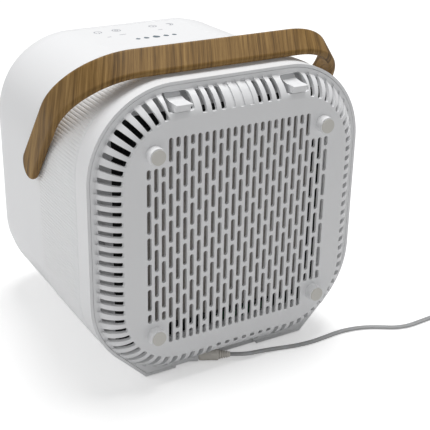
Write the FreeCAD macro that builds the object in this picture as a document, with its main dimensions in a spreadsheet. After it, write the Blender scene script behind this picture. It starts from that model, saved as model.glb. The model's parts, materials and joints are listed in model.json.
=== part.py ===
"""Cool mist humidifier: a soft-cornered cube with a rear intake, a wick, a fan and a bail handle.

Frame: +Z up, +Y towards the rear intake, +X towards the side seen from behind-left.
The origin lies on the standing surface, under the middle of the body. Millimetres.
"""
import FreeCAD, Part
import math
import os
import re

from FreeCAD import Placement, Rotation, Vector

X_AXIS = Vector(1, 0, 0)
Y_AXIS = Vector(0, 1, 0)
Z_AXIS = Vector(0, 0, 1)

# Driving dimensions: alias, value (plain numbers, millimetres or degrees), meaning.
DIMENSIONS = [
    ("body_half_width", 120.0, "half width of the body at its rear rim"),
    ("body_top", 241.5, "height of the body's top above the ground"),
    ("base_height", 1.5, "height of the body's underside above the ground"),
    ("body_depth", 225.0, "rear rim plane to front face"),
    ("rim_y", 101.25, "rear rim plane"),
    ("corner_radius", 70.0, "corner radius of the body seen from behind"),
    ("lower_arc_height", 76.1, "centre height of the lower corner arcs, which end in chamfers"),
    ("front_round", 46.0, "roundover of the front edge"),
    ("side_taper", 3.0, "how much narrower each side is at the front"),
    ("body_wall", 2.4, "wall of the main housing"),
    ("cover_gap", 0.3, "gap all round the rear cover"),
    ("cover_wall", 2.4, "wall of the rear cover"),
    ("cover_lip", 8.0, "depth of the rear cover's rim inside the housing"),
    ("grille_height", 121.5, "height of the grille's centre"),
    ("plateau_rise", 15.0, "rear face of the cover beyond the rim plane"),
    ("plateau_half", 97.0, "half width of the flat rear face"),
    ("ring_half", 113.5, "half width of the sloping ring at the rim plane"),
    ("slot_width", 3.6, "width of an intake slot"),
    ("slot_pitch", 6.0, "sideways pitch of the intake slots"),
    ("slot_row", 21.4, "height pitch of the intake slots"),
    ("slot_web", 3.0, "web between two slots of a column"),
    ("short_slot", 7.7, "length of the short slots that end a column"),
    ("vent_width", 4.2, "width of a ring slot"),
    ("vent_corner", 1.2, "corner radius of a ring slot"),
    ("vent_pitch", 8.0, "pitch of the ring slots"),
    ("vent_inner", 98.5, "inner end of the ring slots from the grille's centre"),
    ("vent_outer", 112.2, "outer end of the ring slots' openings"),
    ("vent_groove", 115.0, "outer end of the ring slots' shallow grooves"),
    ("groove_depth", 0.8, "depth of the shallow grooves"),
    ("post_radius", 6.8, "rear bumper posts"),
    ("post_offset", 73.7, "posts from the grille's centre, both ways"),
    ("post_rise", 6.9, "posts beyond the flat rear face"),
    ("rear_pad_radius", 5.7, "rear bumper pads"),
    ("rear_pad_rise", 0.6, "pads beyond the posts"),
    ("rear_pad_depth", 2.0, "thickness of a rear pad"),
    ("window_half", 10.5, "half width of a latch window"),
    ("window_low", 101.4, "lower edge of a latch window above the grille's centre"),
    ("window_high", 113.2, "upper edge of a latch window above the grille's centre"),
    ("window_corner", 2.2, "corner radius of a latch window"),
    ("window_web", 1.0, "least web between a latch window and the ring slots beside it"),
    ("latch_x", 50.1, "latches from the middle"),
    ("latch_width", 12.7, "width of a latch"),
    ("latch_axis_low", 96.5, "latch axis above the grille's centre"),
    ("latch_axis_deep", 6.0, "latch axis in front of the flat rear face"),
    ("latch_pin_radius", 1.0, "latch pins"),
    ("running_gap", 0.05, "radial clearance of a running fit"),
    ("loose_gap", 0.5, "clearance between pieces that only pass each other"),
    ("notch_left", 20.5, "plug notch, +X end"),
    ("notch_right", 27.0, "plug notch, -X end"),
    ("notch_height", 15.0, "ceiling of the plug notch above the ground"),
    ("notch_web", 5.8, "web between the plug notch and the ring slots over it"),
    ("notch_vent", 3.2, "height of the ring slots over the notch"),
    ("plug_x", 24.8, "centre of the jack's face, sideways"),
    ("plug_y", 98.0, "centre of the jack's face, depth"),
    ("plug_height", 5.4, "plug axis above the ground"),
    ("plug_turn", 62.5, "angle between the plug's axis and +Y, degrees"),
    ("plug_radius", 4.9, "moulded body of the plug"),
    ("plug_length", 17.0, "moulded body of the plug"),
    ("barrel_radius", 2.75, "metal barrel of the plug"),
    ("barrel_length", 9.0, "metal barrel of the plug"),
    ("relief_length", 9.5, "ribbed strain relief of the plug"),
    ("cord_radius", 2.2, "supply lead"),
    ("handle_pivot_y", 0.75, "handle axis, depth"),
    ("handle_pivot_z", 157.3, "handle axis, height"),
    ("handle_lean", 39.6, "lean of the resting handle towards the rear, degrees"),
    ("arm_gap", 1.34, "inside of the handle's arms beyond the body's side at their axis"),
    ("handle_reach", 119.5, "inside of the crossbar from the handle axis"),
    ("handle_bend", 52.0, "inside radius of the handle's bends"),
    ("handle_thick", 6.2, "thickness of the handle band"),
    ("handle_width", 23.6, "width of the handle band"),
    ("handle_edge", 2.8, "rounding of the handle's edges"),
    ("pivot_radius", 4.0, "handle pins"),
    ("bush_radius", 6.5, "outside of the handle bushes"),
    ("filter_half", 79.0, "half width of the intake filter"),
    ("filter_thick", 14.0, "thickness of the intake filter"),
    ("filter_setback", 18.0, "intake filter in front of the flat rear face"),
    ("frame_thick", 2.5, "walls of the filter frames and of the tank"),
    ("bulkhead_y", 78.0, "front face of the bulkhead"),
    ("bulkhead_thick", 3.0, "bulkhead and fan plate thickness"),
    ("bezel_half", 95.5, "half width of the filter bezel's square opening"),
    ("bezel_rise", 8.0, "filter bezel beyond the bulkhead"),
    ("bezel_thick", 2.0, "thickness of the filter bezel"),
    ("air_half", 72.0, "half width of the square air opening"),
    ("wick_half", 68.0, "half width of the wick"),
    ("wick_thick", 28.0, "thickness of the wick"),
    ("wick_high", 196.0, "upper end of the wick above the ground"),
    ("tank_half", 82.0, "half width of the water tank"),
    ("tank_chamfer", 10.0, "chamfers along the tank's lower edges"),
    ("tank_front", -52.0, "front wall of the tank"),
    ("tank_gap", 2.0, "rear wall of the tank in front of the bulkhead"),
    ("tank_low", 8.0, "underside of the tank"),
    ("tank_high", 42.0, "rim of the tank"),
    ("fan_y", 22.0, "front face of the fan plate"),
    ("fan_height", 132.0, "height of the fan axis"),
    ("duct_radius", 80.0, "inside of the fan duct"),
    ("duct_length", 30.0, "length of the fan duct"),
    ("blade_gap", 3.0, "blade tips to the duct"),
    ("blade_count", 7, "fan blades"),
    ("hub_radius", 26.0, "fan hub"),
    ("shaft_radius", 3.0, "motor shaft"),
    ("motor_radius", 27.0, "motor case"),
    ("motor_length", 32.0, "motor case"),
    ("outlet_radius", 50.0, "front air outlet"),
    ("outlet_height", 121.5, "height of the front air outlet"),
    ("louvre_count", 9, "slats of the front grille"),
    ("plate_thick", 1.8, "base plate inside the floor"),
    ("pad_radius", 7.0, "base pads"),
    ("pad_thick", 2.5, "base pads"),
    ("screw_radius", 1.5, "screw shanks"),
    ("head_radius", 2.8, "screw heads"),
]

DOC = FreeCAD.newDocument("humidifier")
SHEET = DOC.addObject("Spreadsheet::Sheet", "Sizes")
for row, (alias, amount, meaning) in enumerate(DIMENSIONS, start=1):
    SHEET.set("A%d" % row, meaning)
    SHEET.set("B%d" % row, str(amount))
    SHEET.setAlias("B%d" % row, alias)
DOC.recompute()
ALIASES = {alias for alias, _, _ in DIMENSIONS}
KEPT = {}


class Sizes:
    """Numbers read back from the sheet, for the shapes made with Part's own functions."""

    def __getattr__(self, alias):
        return float(getattr(SHEET, alias))


S = Sizes()


def bind(item, prop, formula):
    """Bind a property to a formula of the sheet's aliases."""
    text = re.sub(r"[a-z_]+", lambda m: "Sizes." + m.group() if m.group() in ALIASES else m.group(), formula)
    item.setExpression(prop, text)


def place(item, x="0", y="0", z="0", turn=None):
    """Bind a Placement's position, after giving it a fixed rotation."""
    if turn is not None:
        item.Placement = Placement(Vector(), turn)
    for axis, formula in (("x", x), ("y", y), ("z", z)):
        bind(item, ".Placement.Base." + axis, formula)
    return item


def box(name, length, width, height, x, y, z, turn=None):
    """A Part box whose sizes and corner are formulas."""
    item = DOC.addObject("Part::Box", name)
    for prop, formula in (("Length", length), ("Width", width), ("Height", height)):
        bind(item, prop, formula)
    return place(item, x, y, z, turn)


ALONG = {
    "X": Rotation(Y_AXIS, 90),
    "Y": Rotation(X_AXIS, -90),
    "Z": Rotation(),
}


def rod(name, radius, height, x, y, z, along="Z"):
    """A Part cylinder whose sizes and end are formulas, along a positive axis."""
    item = DOC.addObject("Part::Cylinder", name)
    bind(item, "Radius", radius)
    bind(item, "Height", height)
    return place(item, x, y, z, ALONG[along])


def feature(name, shape):
    """A Part feature that holds a shape made in code."""
    item = DOC.addObject("Part::Feature", name)
    item.Shape = shape
    return item


def fuse(name, parts):
    """Union of several objects."""
    item = DOC.addObject("Part::MultiFuse", name)
    item.Shapes = parts
    return item


def gather(name, parts):
    """Separate solids kept together in one object."""
    item = DOC.addObject("Part::Compound", name)
    item.Links = parts
    return item


def cut(name, base, tools):
    """A base minus one or several tools."""
    item = DOC.addObject("Part::Cut", name)
    item.Base = base
    item.Tool = tools[0] if len(tools) == 1 else fuse(name + "_tools", tools)
    return item


def keep(node, item):
    """Label a finished sub-part with its node name, which is also its file's name."""
    item.Label = node
    KEPT[node] = item
    return item


def prism(points, direction):
    """Extrude a closed polygon of vectors."""
    wire = Part.makePolygon(list(points) + [points[0]])
    return Part.Face(wire).extrude(direction)


def body_outline(inset, lateral, y):
    """Outline of the body in a plane across Y, drawn in by an inset.

    The sides and top are drawn in by a lateral amount too. The lower corners turn 45 degrees
    and run on as straight chamfers to the flat base.
    """
    half = S.body_half_width - inset - lateral
    top = S.body_top - inset - lateral
    low = S.base_height + inset
    centre = S.body_half_width - S.corner_radius
    radius = half - centre
    top_arc = top - radius
    low_arc = S.lower_arc_height
    diagonal = radius * math.sqrt(0.5)
    chamfer_end = Vector(centre + diagonal, y, low_arc - diagonal)
    base_x = chamfer_end.x - (chamfer_end.z - low)

    def arc(cx, cz, start, middle, end):
        points = [Vector(cx + radius * math.cos(a), y, cz + radius * math.sin(a))
                  for a in map(math.radians, (start, middle, end))]
        return Part.Arc(*points).toShape()

    def line(x1, z1, x2, z2):
        return Part.LineSegment(Vector(x1, y, z1), Vector(x2, y, z2)).toShape()

    edges = [
        line(-centre, top, centre, top),
        arc(centre, top_arc, 90, 45, 0),
        line(half, top_arc, half, low_arc),
        arc(centre, low_arc, 0, -22.5, -45),
        line(chamfer_end.x, chamfer_end.z, base_x, low),
        line(base_x, low, -base_x, low),
        line(-base_x, low, -chamfer_end.x, chamfer_end.z),
        arc(-centre, low_arc, -135, -157.5, -180),
        line(-half, low_arc, -half, top_arc),
        arc(-centre, top_arc, 180, 135, 90),
    ]
    return Part.Wire(edges)


def taper_at(y):
    """Lateral draw-in of the body at a depth."""
    return S.side_taper * (S.rim_y - y) / S.body_depth


def body_solid(inset, rear_y):
    """The body's form, drawn in by an inset, from a rear plane to its rounded front."""
    front = S.rim_y - S.body_depth + inset
    radius = S.front_round - inset
    start = front + radius
    straight = [body_outline(inset, taper_at(y), y) for y in (rear_y, start)]
    rounded = []
    steps = 6
    for step in range(steps + 1):
        angle = math.radians(90.0 * step / steps)
        y = start - radius * math.sin(angle)
        rounded.append(body_outline(inset + radius * (1 - math.cos(angle)), taper_at(y), y))
    tube = Part.makeLoft(straight, True, True)
    dome = Part.makeLoft(rounded, True, True)
    return tube.fuse(dome).removeSplitter()


def outline_prism(inset, rear_y, thickness):
    """A slab of the body's outline, drawn in by an inset, growing towards the front."""
    wire = body_outline(inset, taper_at(rear_y), rear_y)
    return Part.Face(wire).extrude(Vector(0, -thickness, 0))


def ring_outline(half, y):
    """Rounded square about the grille's centre."""
    centre = S.body_half_width - S.corner_radius
    radius = half - centre
    mid = S.grille_height
    edges = []
    for quarter in range(4):
        turn = Rotation(Y_AXIS, 90 * quarter)
        side = [turn.multVec(Vector(x, 0, half)) for x in (-centre, centre)]
        bend = [turn.multVec(Vector(centre + radius * math.sin(a), 0, centre + radius * math.cos(a)))
                for a in map(math.radians, (0, 45, 90))]
        move = Vector(0, y, mid)
        edges.append(Part.LineSegment(side[0] + move, side[1] + move).toShape())
        edges.append(Part.Arc(*[p + move for p in bend]).toShape())
    return Part.Wire(edges)


# Depth below the flat rear face and share of the way out, along the ring's convex slope.
RING_PROFILE = [(0.0, 0.0), (0.07, 0.24), (0.27, 0.52), (0.60, 0.80), (1.0, 1.0)]


def ring_solid(shrink, sink):
    """The raised part of the cover: flat rear face and convex sloping ring."""
    plateau_y = S.rim_y + S.plateau_rise
    run = S.ring_half - S.plateau_half
    wires = []
    for depth, share in RING_PROFILE:
        y = plateau_y - depth * S.plateau_rise - sink
        wires.append(ring_outline(S.plateau_half + run * share - shrink, y))
    return Part.makeLoft(wires, True, False)


def slot_prism(width, low, high, x, y_from, y_to, corner=None):
    """Upright slot cut along Y, round-ended or with its own corner radius."""
    radius = width / 2 if corner is None else corner
    half = width / 2
    edges = []
    ends = [(x + half - radius, high - radius, 0), (x - half + radius, high - radius, 90),
            (x - half + radius, low + radius, 180), (x + half - radius, low + radius, 270)]
    arcs = []
    for cx, cz, start in ends:
        arcs.append([Vector(cx + radius * math.cos(a), y_from, cz + radius * math.sin(a))
                     for a in map(math.radians, (start, start + 45, start + 90))])
    for arc, following in zip(arcs, arcs[1:] + arcs[:1]):
        edges.append(Part.Arc(*arc).toShape())
        if (arc[2] - following[0]).Length > 1e-6:
            edges.append(Part.LineSegment(arc[2], following[0]).toShape())
    return Part.Face(Part.Wire(edges)).extrude(Vector(0, y_to - y_from, 0))


def intake_slots():
    """The staggered slots of the intake grille, as (column x, low end, high end)."""
    slots = []
    row = S.slot_row
    full = row - S.slot_web
    for column in range(-13, 14):
        staggered = column % 2 != 0
        edge = abs(column) > 10
        x = column * S.slot_pitch
        # staggered columns hold a whole number of rows about the middle, the others end in short slots
        if staggered:
            rows = 5 if abs(column) == 13 or abs(column) == 11 else 7
            centres = [row * (k - (rows - 1) / 2) for k in range(rows)]
            reach = centres[-1] + full / 2 + S.slot_web
            slots.append((x, reach, reach + S.short_slot))
            slots.append((x, -reach - S.short_slot, -reach))
        else:
            rows = 6 if edge else 8
            centres = [row * (k - (rows - 1) / 2) for k in range(rows)]
        slots += [(x, c - full / 2, c + full / 2) for c in centres]
    return slots


def vent_places():
    """Ring slots as (angle, sideways shift, closed): four sides and four fanned corners."""
    centre = S.body_half_width - S.corner_radius
    middle_radius = (S.vent_inner + S.vent_outer) / 2 - centre
    per_side = int(centre // S.vent_pitch)
    last = per_side * S.vent_pitch
    arc = middle_radius * math.pi / 2 + 2 * (centre - last)
    gaps = round(arc / S.vent_pitch)
    clear = S.window_half + S.vent_width / 2 + S.window_web
    places = []
    for quarter in range(4):
        for k in range(-per_side, per_side + 1):
            x = k * S.vent_pitch
            latch = quarter == 0 and abs(abs(x) - S.latch_x) < clear
            if not latch:
                places.append((quarter, None, x, quarter == 0 and abs(k) <= 1))
        for j in range(1, gaps):
            angle = (arc / gaps * j - (centre - last)) / middle_radius
            x = centre + middle_radius * math.sin(angle)
            mirrored = centre + middle_radius * math.cos(angle)
            near = quarter == 0 and abs(x - S.latch_x) < clear and angle < 0.3
            far = quarter == 3 and abs(mirrored - S.latch_x) < clear and angle > 1.2
            if not near and not far:
                places.append((quarter, angle, 0.0, False))
    return places


def vent_tool(place_at, outer, y_from, y_to):
    """One radial slot tool, from the ring slots' inner end to an outer end, short over the notch."""
    quarter, angle, x, _ = place_at
    inner = S.vent_inner
    if quarter == 2 and angle is None and -S.notch_left < x < S.notch_right + S.vent_pitch:
        outer = S.grille_height - S.notch_height - S.notch_web
        inner = outer - S.notch_vent
    centre = S.body_half_width - S.corner_radius
    if angle is None:
        tool = slot_prism(S.vent_width, inner, outer, x, y_from, y_to, S.vent_corner)
    else:
        tool = slot_prism(S.vent_width, S.vent_inner - centre, outer - centre, 0, y_from, y_to,
                          S.vent_corner)
        tool.rotate(Vector(), Y_AXIS, math.degrees(angle))
        tool.translate(Vector(centre, 0, centre))
    tool.rotate(Vector(), Y_AXIS, 90 * quarter)
    tool.translate(Vector(0, 0, S.grille_height))
    return tool


def plug_frame():
    """Direction of the plug's axis, pointing the way the lead leaves, and its side direction."""
    turn = math.radians(S.plug_turn)
    return Vector(-math.sin(turn), math.cos(turn), 0), Vector(math.cos(turn), math.sin(turn), 0)


def plug_box(start, length, half, low, high):
    """A box along the plug's axis, from a distance along it."""
    along, side = plug_frame()
    origin = Vector(S.plug_x, S.plug_y, low) + along * start
    corners = [origin + side * half, origin + side * half + along * length,
               origin - side * half + along * length, origin - side * half]
    return prism(corners, Vector(0, 0, high - low))


def plug_rod(radius, start, length, far_radius=None):
    """A cylinder or cone on the plug's axis."""
    along, _ = plug_frame()
    origin = Vector(S.plug_x, S.plug_y, S.plug_height) + along * start
    if far_radius is None:
        return Part.makeCylinder(radius, length, origin, along)
    return Part.makeCone(radius, far_radius, length, origin, along)


def main_housing():
    """Shell with a rounded front, open at the rear, with holes for outlet, pivots and jack."""
    front = S.rim_y - S.body_depth
    shell = body_solid(0, S.rim_y).cut(body_solid(S.body_wall, S.rim_y + 1))
    bracket_gap = S.loose_gap
    jack_bay = Part.makeBox(bracket_left() + bracket_right() + 2 * bracket_gap,
                            S.rim_y - bracket_front() + 10, S.base_height + S.body_wall + 4,
                            Vector(-bracket_right() - bracket_gap, bracket_front() - bracket_gap, -1))
    outlet = Part.makeCylinder(S.outlet_radius + S.cover_gap, S.body_wall * 4,
                               Vector(0, front - S.body_wall, S.outlet_height), Y_AXIS)
    pivots = Part.makeCylinder(S.bush_radius, 4 * S.body_half_width,
                               Vector(-2 * S.body_half_width, S.handle_pivot_y, S.handle_pivot_z), X_AXIS)
    shell = shell.fuse(housing_lugs() + tray_bosses())
    tools = [jack_bay, outlet, pivots, service_opening(0)]
    for x, z in lug_screw_places():
        tools.append(Part.makeCylinder(S.screw_radius, 10, Vector(x, S.bulkhead_y - 10, z), Y_AXIS))
    for x, y in tray_screw_places():
        tools.append(Part.makeCylinder(S.screw_radius, 6, Vector(x, y, board_height() - 0.01)))
    for side in (-1, 1):
        keeper = Part.makeBox(S.latch_width + 2, 4.6, 1.3 + 2,
                              Vector(side * S.latch_x - S.latch_width / 2 - 1, S.rim_y - 7.2,
                                     S.body_top - S.body_wall - 2))
        tools.append(keeper)
    for x, y in base_screw_places():
        tools.append(Part.makeCylinder(S.head_radius, S.body_wall / 2 + 1, Vector(x, y, S.base_height - 1)))
        tools.append(Part.makeCylinder(S.screw_radius, S.body_wall + 1, Vector(x, y, S.base_height)))
    for x, y in base_pad_places():
        tools.append(Part.makeCylinder(S.pad_radius, S.pad_thick - S.base_height + 1,
                                       Vector(x, y, S.base_height - 1)))
    return keep("main_housing", feature("housing", shell.cut(tools)))


def housing_lugs():
    """Lugs on the side walls that carry the bulkhead."""
    lugs = []
    for x, z in lug_screw_places():
        side = math.copysign(1, x)
        reach = S.body_half_width - S.body_wall / 2 - taper_at(S.bulkhead_y - 12) - 104
        left = 104 if side > 0 else -104 - reach
        lugs.append(Part.makeBox(reach, 12, 16, Vector(left, S.bulkhead_y - 12, z - 8)))
    return lugs


def lug_screw_places():
    """Screws that hold the bulkhead to the housing's lugs."""
    return [(x, z) for x in (-109.5, 109.5) for z in (92.0, 165.0)]


def tray_bosses():
    """Posts under the top that the control board's tray is screwed to."""
    top = S.body_top - S.body_wall / 2 - taper_at(icon_y())
    return [Part.makeCylinder(3.5, top - board_height(), Vector(x, y, board_height()))
            for x, y in tray_screw_places()]


def tray_screw_places():
    """Screws of the control board's tray, outside the board."""
    return [(x, icon_y() + y) for x in (-54.0, 54.0) for y in (0.0, 16.0)]


def board_height():
    """Underside of the control board above the ground."""
    return S.body_top - S.body_wall - taper_at(icon_y()) - 9


def service_opening(gap):
    """The opening in the housing's floor that the base plate closes, drawn in by a gap."""
    half = 58.0
    rear = 66.0
    front = -46.0
    return Part.makeBox(2 * (half - gap), rear - front - 2 * gap, S.body_wall + 2 * (1 - min(gap, 1)),
                        Vector(-half + gap, front + gap, S.base_height - (1 - min(gap, 1))))


def base_screw_places():
    """Screws of the base plate, outside its opening."""
    return [(x, y) for x in (-63.0, 63.0) for y in (-40.0, 60.0)]


def base_pad_places():
    """Pads under the housing's floor."""
    return [(x, y) for x in (-60.0, 60.0) for y in (-58.0, 80.0)]


def rear_cover():
    """Dished cover with intake grille, ring slots, latch windows and plug notch."""
    plateau_y = S.rim_y + S.plateau_rise
    wall = S.cover_wall
    edge = S.body_wall + S.cover_gap
    rim = outline_prism(edge, S.rim_y, S.cover_lip)
    ring = ring_solid(0, 0)
    hollow = outline_prism(edge + wall, S.rim_y - wall, S.cover_lip)
    ring_hollow = ring_solid(wall * 0.75, wall)
    dish = rim.fuse(ring).cut([hollow, ring_hollow])
    mid = S.grille_height
    ears = []
    for side in (-1, 1):
        for end in (-1, 1):
            x = side * S.latch_x + end * (S.latch_width / 2 + S.loose_gap + 1) - 1
            corner = Vector(x, plateau_y - S.latch_axis_deep - 3.5, mid + S.latch_axis_low - 3.5)
            ears.append(Part.makeBox(2, S.latch_axis_deep + 1.5, 7, corner))
        ears.append(Part.makeBox(S.latch_width + 2 * S.loose_gap + 4, 10.5, 3,
                                 Vector(side * S.latch_x - S.latch_width / 2 - S.loose_gap - 2,
                                        plateau_y - 12.0, mid + 89.1)))
    dish = dish.fuse(ears)
    tools = [slot_prism(S.slot_width, mid + low, mid + high, x, plateau_y - 2 * wall, plateau_y + 1)
             for x, low, high in intake_slots()]
    places = vent_places()
    tools += [vent_tool(p, S.vent_outer, S.rim_y - S.cover_lip - 1, plateau_y + 1)
              for p in places if not p[3]]
    grooves = Part.makeCompound([vent_tool(p, S.vent_groove, S.rim_y - 1, plateau_y + 1) for p in places])
    core = ring_solid(S.groove_depth, S.groove_depth)
    rim_core = outline_prism(edge, S.rim_y - S.groove_depth, S.cover_lip)
    tools.append(grooves.cut([core, rim_core]))
    for side in (-1, 1):
        x = side * S.latch_x
        tools.append(slot_prism(2 * S.window_half, mid + S.window_low, mid + S.window_high, x,
                                S.rim_y - wall - 5, plateau_y + 1, S.window_corner))
        tools.append(Part.makeBox(S.latch_width + 2, S.cover_lip, 6,
                                  Vector(x - S.latch_width / 2 - 1, S.rim_y - wall - S.cover_lip - 0.2,
                                         S.body_top - edge - wall - 1.5)))
        tools.append(Part.makeCylinder(S.latch_pin_radius, S.latch_width + 8,
                                       Vector(x - S.latch_width / 2 - 4, plateau_y - S.latch_axis_deep,
                                              mid + S.latch_axis_low), X_AXIS))
    tools.append(Part.makeBox(S.notch_left + S.notch_right, S.plateau_rise + wall + 3, S.notch_height,
                              Vector(-S.notch_right, S.rim_y - wall - 1, 0)))
    tools.append(plug_box(-13.5, 13.5 + S.plug_length, S.plug_radius + 0.6, 0, 2 * S.plug_height + 0.8))
    tools.append(Part.makeBox(bracket_left() + bracket_right() + 2 * S.loose_gap, S.cover_lip + 1,
                              bracket_height() + S.loose_gap,
                              Vector(-bracket_right() - S.loose_gap, S.rim_y - wall - S.cover_lip - 1, 0)))
    return keep("rear_cover", feature("cover", dish.cut(tools)))


def rear_posts():
    """Bumper posts on the flat rear face, each with a seat for its soft disc."""
    plateau_y = S.rim_y + S.plateau_rise
    pad_y = plateau_y + S.post_rise + S.rear_pad_rise - S.rear_pad_depth
    posts = []
    for x in (-S.post_offset, S.post_offset):
        for z in (-S.post_offset, S.post_offset):
            at = Vector(x, plateau_y, S.grille_height + z)
            seat = Part.makeCylinder(S.rear_pad_radius, S.rear_pad_depth, Vector(x, pad_y, at.z), Y_AXIS)
            posts.append(Part.makeCylinder(S.post_radius, S.post_rise, at, Y_AXIS).cut(seat))
    return keep("rear_posts", feature("rear_post_set", Part.makeCompound(posts)))


def rear_pads():
    """Soft bumper discs on the posts."""
    y = S.rim_y + S.plateau_rise + S.post_rise + S.rear_pad_rise - S.rear_pad_depth
    pads = []
    for i, (sx, sz) in enumerate(((-1, -1), (-1, 1), (1, -1), (1, 1))):
        pads.append(rod("rear_pad_%d" % i, "rear_pad_radius", "rear_pad_depth", "%d * post_offset" % sx,
                        str(y), "grille_height + %d * post_offset" % sz, "Y"))
        bind(pads[-1], ".Placement.Base.y",
             "rim_y + plateau_rise + post_rise + rear_pad_rise - rear_pad_depth")
    return keep("rear_pads", gather("rear_pad_set", pads))


def latch(node, side):
    """Finger tab, arm and barb of one latch, turning on a pin behind the flat rear face."""
    plateau_y = S.rim_y + S.plateau_rise
    low = S.latch_axis_low
    # depth below the flat rear face and height above the grille's centre
    profile = [(4.4, low + 1.5), (5.2, low + 5.5), (0.6, low + 5.5), (0.6, low + 9.2), (-2.2, low + 9.9),
               (-2.2, low + 11.2), (8.5, low + 11.2), (15.6, low + 12.6), (18.3, low + 15.5),
               (18.3, low + 21.9), (19.4, low + 21.9), (21.2, low + 20.0), (21.2, low + 14.5),
               (18.0, low + 9.5), (10.5, low + 6.5), (7.8, low + 1.5)]
    left_x = side * S.latch_x - S.latch_width / 2
    points = [Vector(left_x, plateau_y - depth, S.grille_height + z) for depth, z in profile]
    arm = prism(points, Vector(S.latch_width, 0, 0))
    axis_at = Vector(left_x, plateau_y - S.latch_axis_deep, S.grille_height + low)
    hub = Part.makeCylinder(S.latch_pin_radius + 1.6, S.latch_width, axis_at, X_AXIS)
    bore = Part.makeCylinder(S.latch_pin_radius + S.running_gap, S.latch_width, axis_at, X_AXIS)
    return keep(node, feature(node + "_shape", arm.fuse(hub).cut(bore)))


def latch_pins():
    """Steel pins through the cover's ears."""
    pins = []
    for i, side in enumerate((-1, 1)):
        pins.append(rod("latch_pin_%d" % i, "latch_pin_radius", "latch_width + 5",
                        "%d * latch_x - latch_width / 2 - 2.5" % side,
                        "rim_y + plateau_rise - latch_axis_deep", "grille_height + latch_axis_low", "X"))
    return keep("latch_pins", gather("latch_pin_set", pins))


def latch_springs():
    """Leaf springs that hold the latch arms up, standing on the ears' cross rib."""
    strips = []
    plateau_y = S.rim_y + S.plateau_rise
    thick = 0.5
    for side in (-1, 1):
        left_x = side * S.latch_x - 2.5
        line = [(10.4, 92.6), (12.4, 99.5), (18.6, 104.6)]
        front = [Vector(left_x, plateau_y - d, S.grille_height + z) for d, z in line]
        back = [p + Vector(0, -thick, -thick) for p in reversed(front)]
        strips.append(prism(front + back, Vector(5, 0, 0)))
    return keep("latch_springs", feature("latch_spring_set", Part.makeCompound(strips)))


# Half width inside the handle, as a formula: the body's half width at the handle's axis and a gap.
HANDLE_HALF = "(body_half_width - side_taper * (rim_y - handle_pivot_y) / body_depth + arm_gap)"


def handle_half():
    """Half width inside the handle, for the shapes made in code."""
    return S.body_half_width - taper_at(S.handle_pivot_y) + S.arm_gap


def handle_profile(grow):
    """Closed outline of the handle's inside, grown outwards, in the plane of its two pivots."""
    half = handle_half() + grow
    reach = S.handle_reach + grow
    radius = S.handle_bend + grow
    end = -S.handle_width / 2
    cx = half - radius
    cz = reach - radius
    quarter = radius * math.sqrt(0.5)
    edges = [
        Part.LineSegment(Vector(half, 0, end), Vector(half, 0, cz)).toShape(),
        Part.Arc(Vector(half, 0, cz), Vector(cx + quarter, 0, cz + quarter),
                 Vector(cx, 0, reach)).toShape(),
        Part.LineSegment(Vector(cx, 0, reach), Vector(-cx, 0, reach)).toShape(),
        Part.Arc(Vector(-cx, 0, reach), Vector(-cx - quarter, 0, cz + quarter),
                 Vector(-half, 0, cz)).toShape(),
        Part.LineSegment(Vector(-half, 0, cz), Vector(-half, 0, end)).toShape(),
        Part.LineSegment(Vector(-half, 0, end), Vector(half, 0, end)).toShape(),
    ]
    return Part.Face(Part.Wire(edges))


def handle():
    """Flat band bent to a U, with round arm ends and blind bores for its pins."""
    half_width = S.handle_width / 2
    band = handle_profile(S.handle_thick).cut(handle_profile(0)).extrude(Vector(0, S.handle_width, 0))
    band.translate(Vector(0, -half_width, 0))
    length = 2 * (handle_half() + S.handle_thick)
    left = Vector(-length / 2, 0, 0)
    tip = Part.makeCylinder(half_width, length, left, X_AXIS)
    arms = Part.makeBox(length, S.handle_width, S.handle_reach + 2 * S.handle_thick,
                        Vector(-length / 2, -half_width, 0))
    band = band.common(tip.fuse(arms)).removeSplitter()
    band = band.makeFillet(S.handle_edge, band.Edges)
    bore_depth = S.handle_thick - 2
    bore = Part.makeCylinder(S.pivot_radius + S.running_gap, 2 * (handle_half() + bore_depth),
                             Vector(-handle_half() - bore_depth, 0, 0), X_AXIS)
    item = feature("handle_band", band.cut(bore))
    place(item, "0", "handle_pivot_y", "handle_pivot_z", Rotation(X_AXIS, -S.handle_lean))
    return keep("handle", item)


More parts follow.
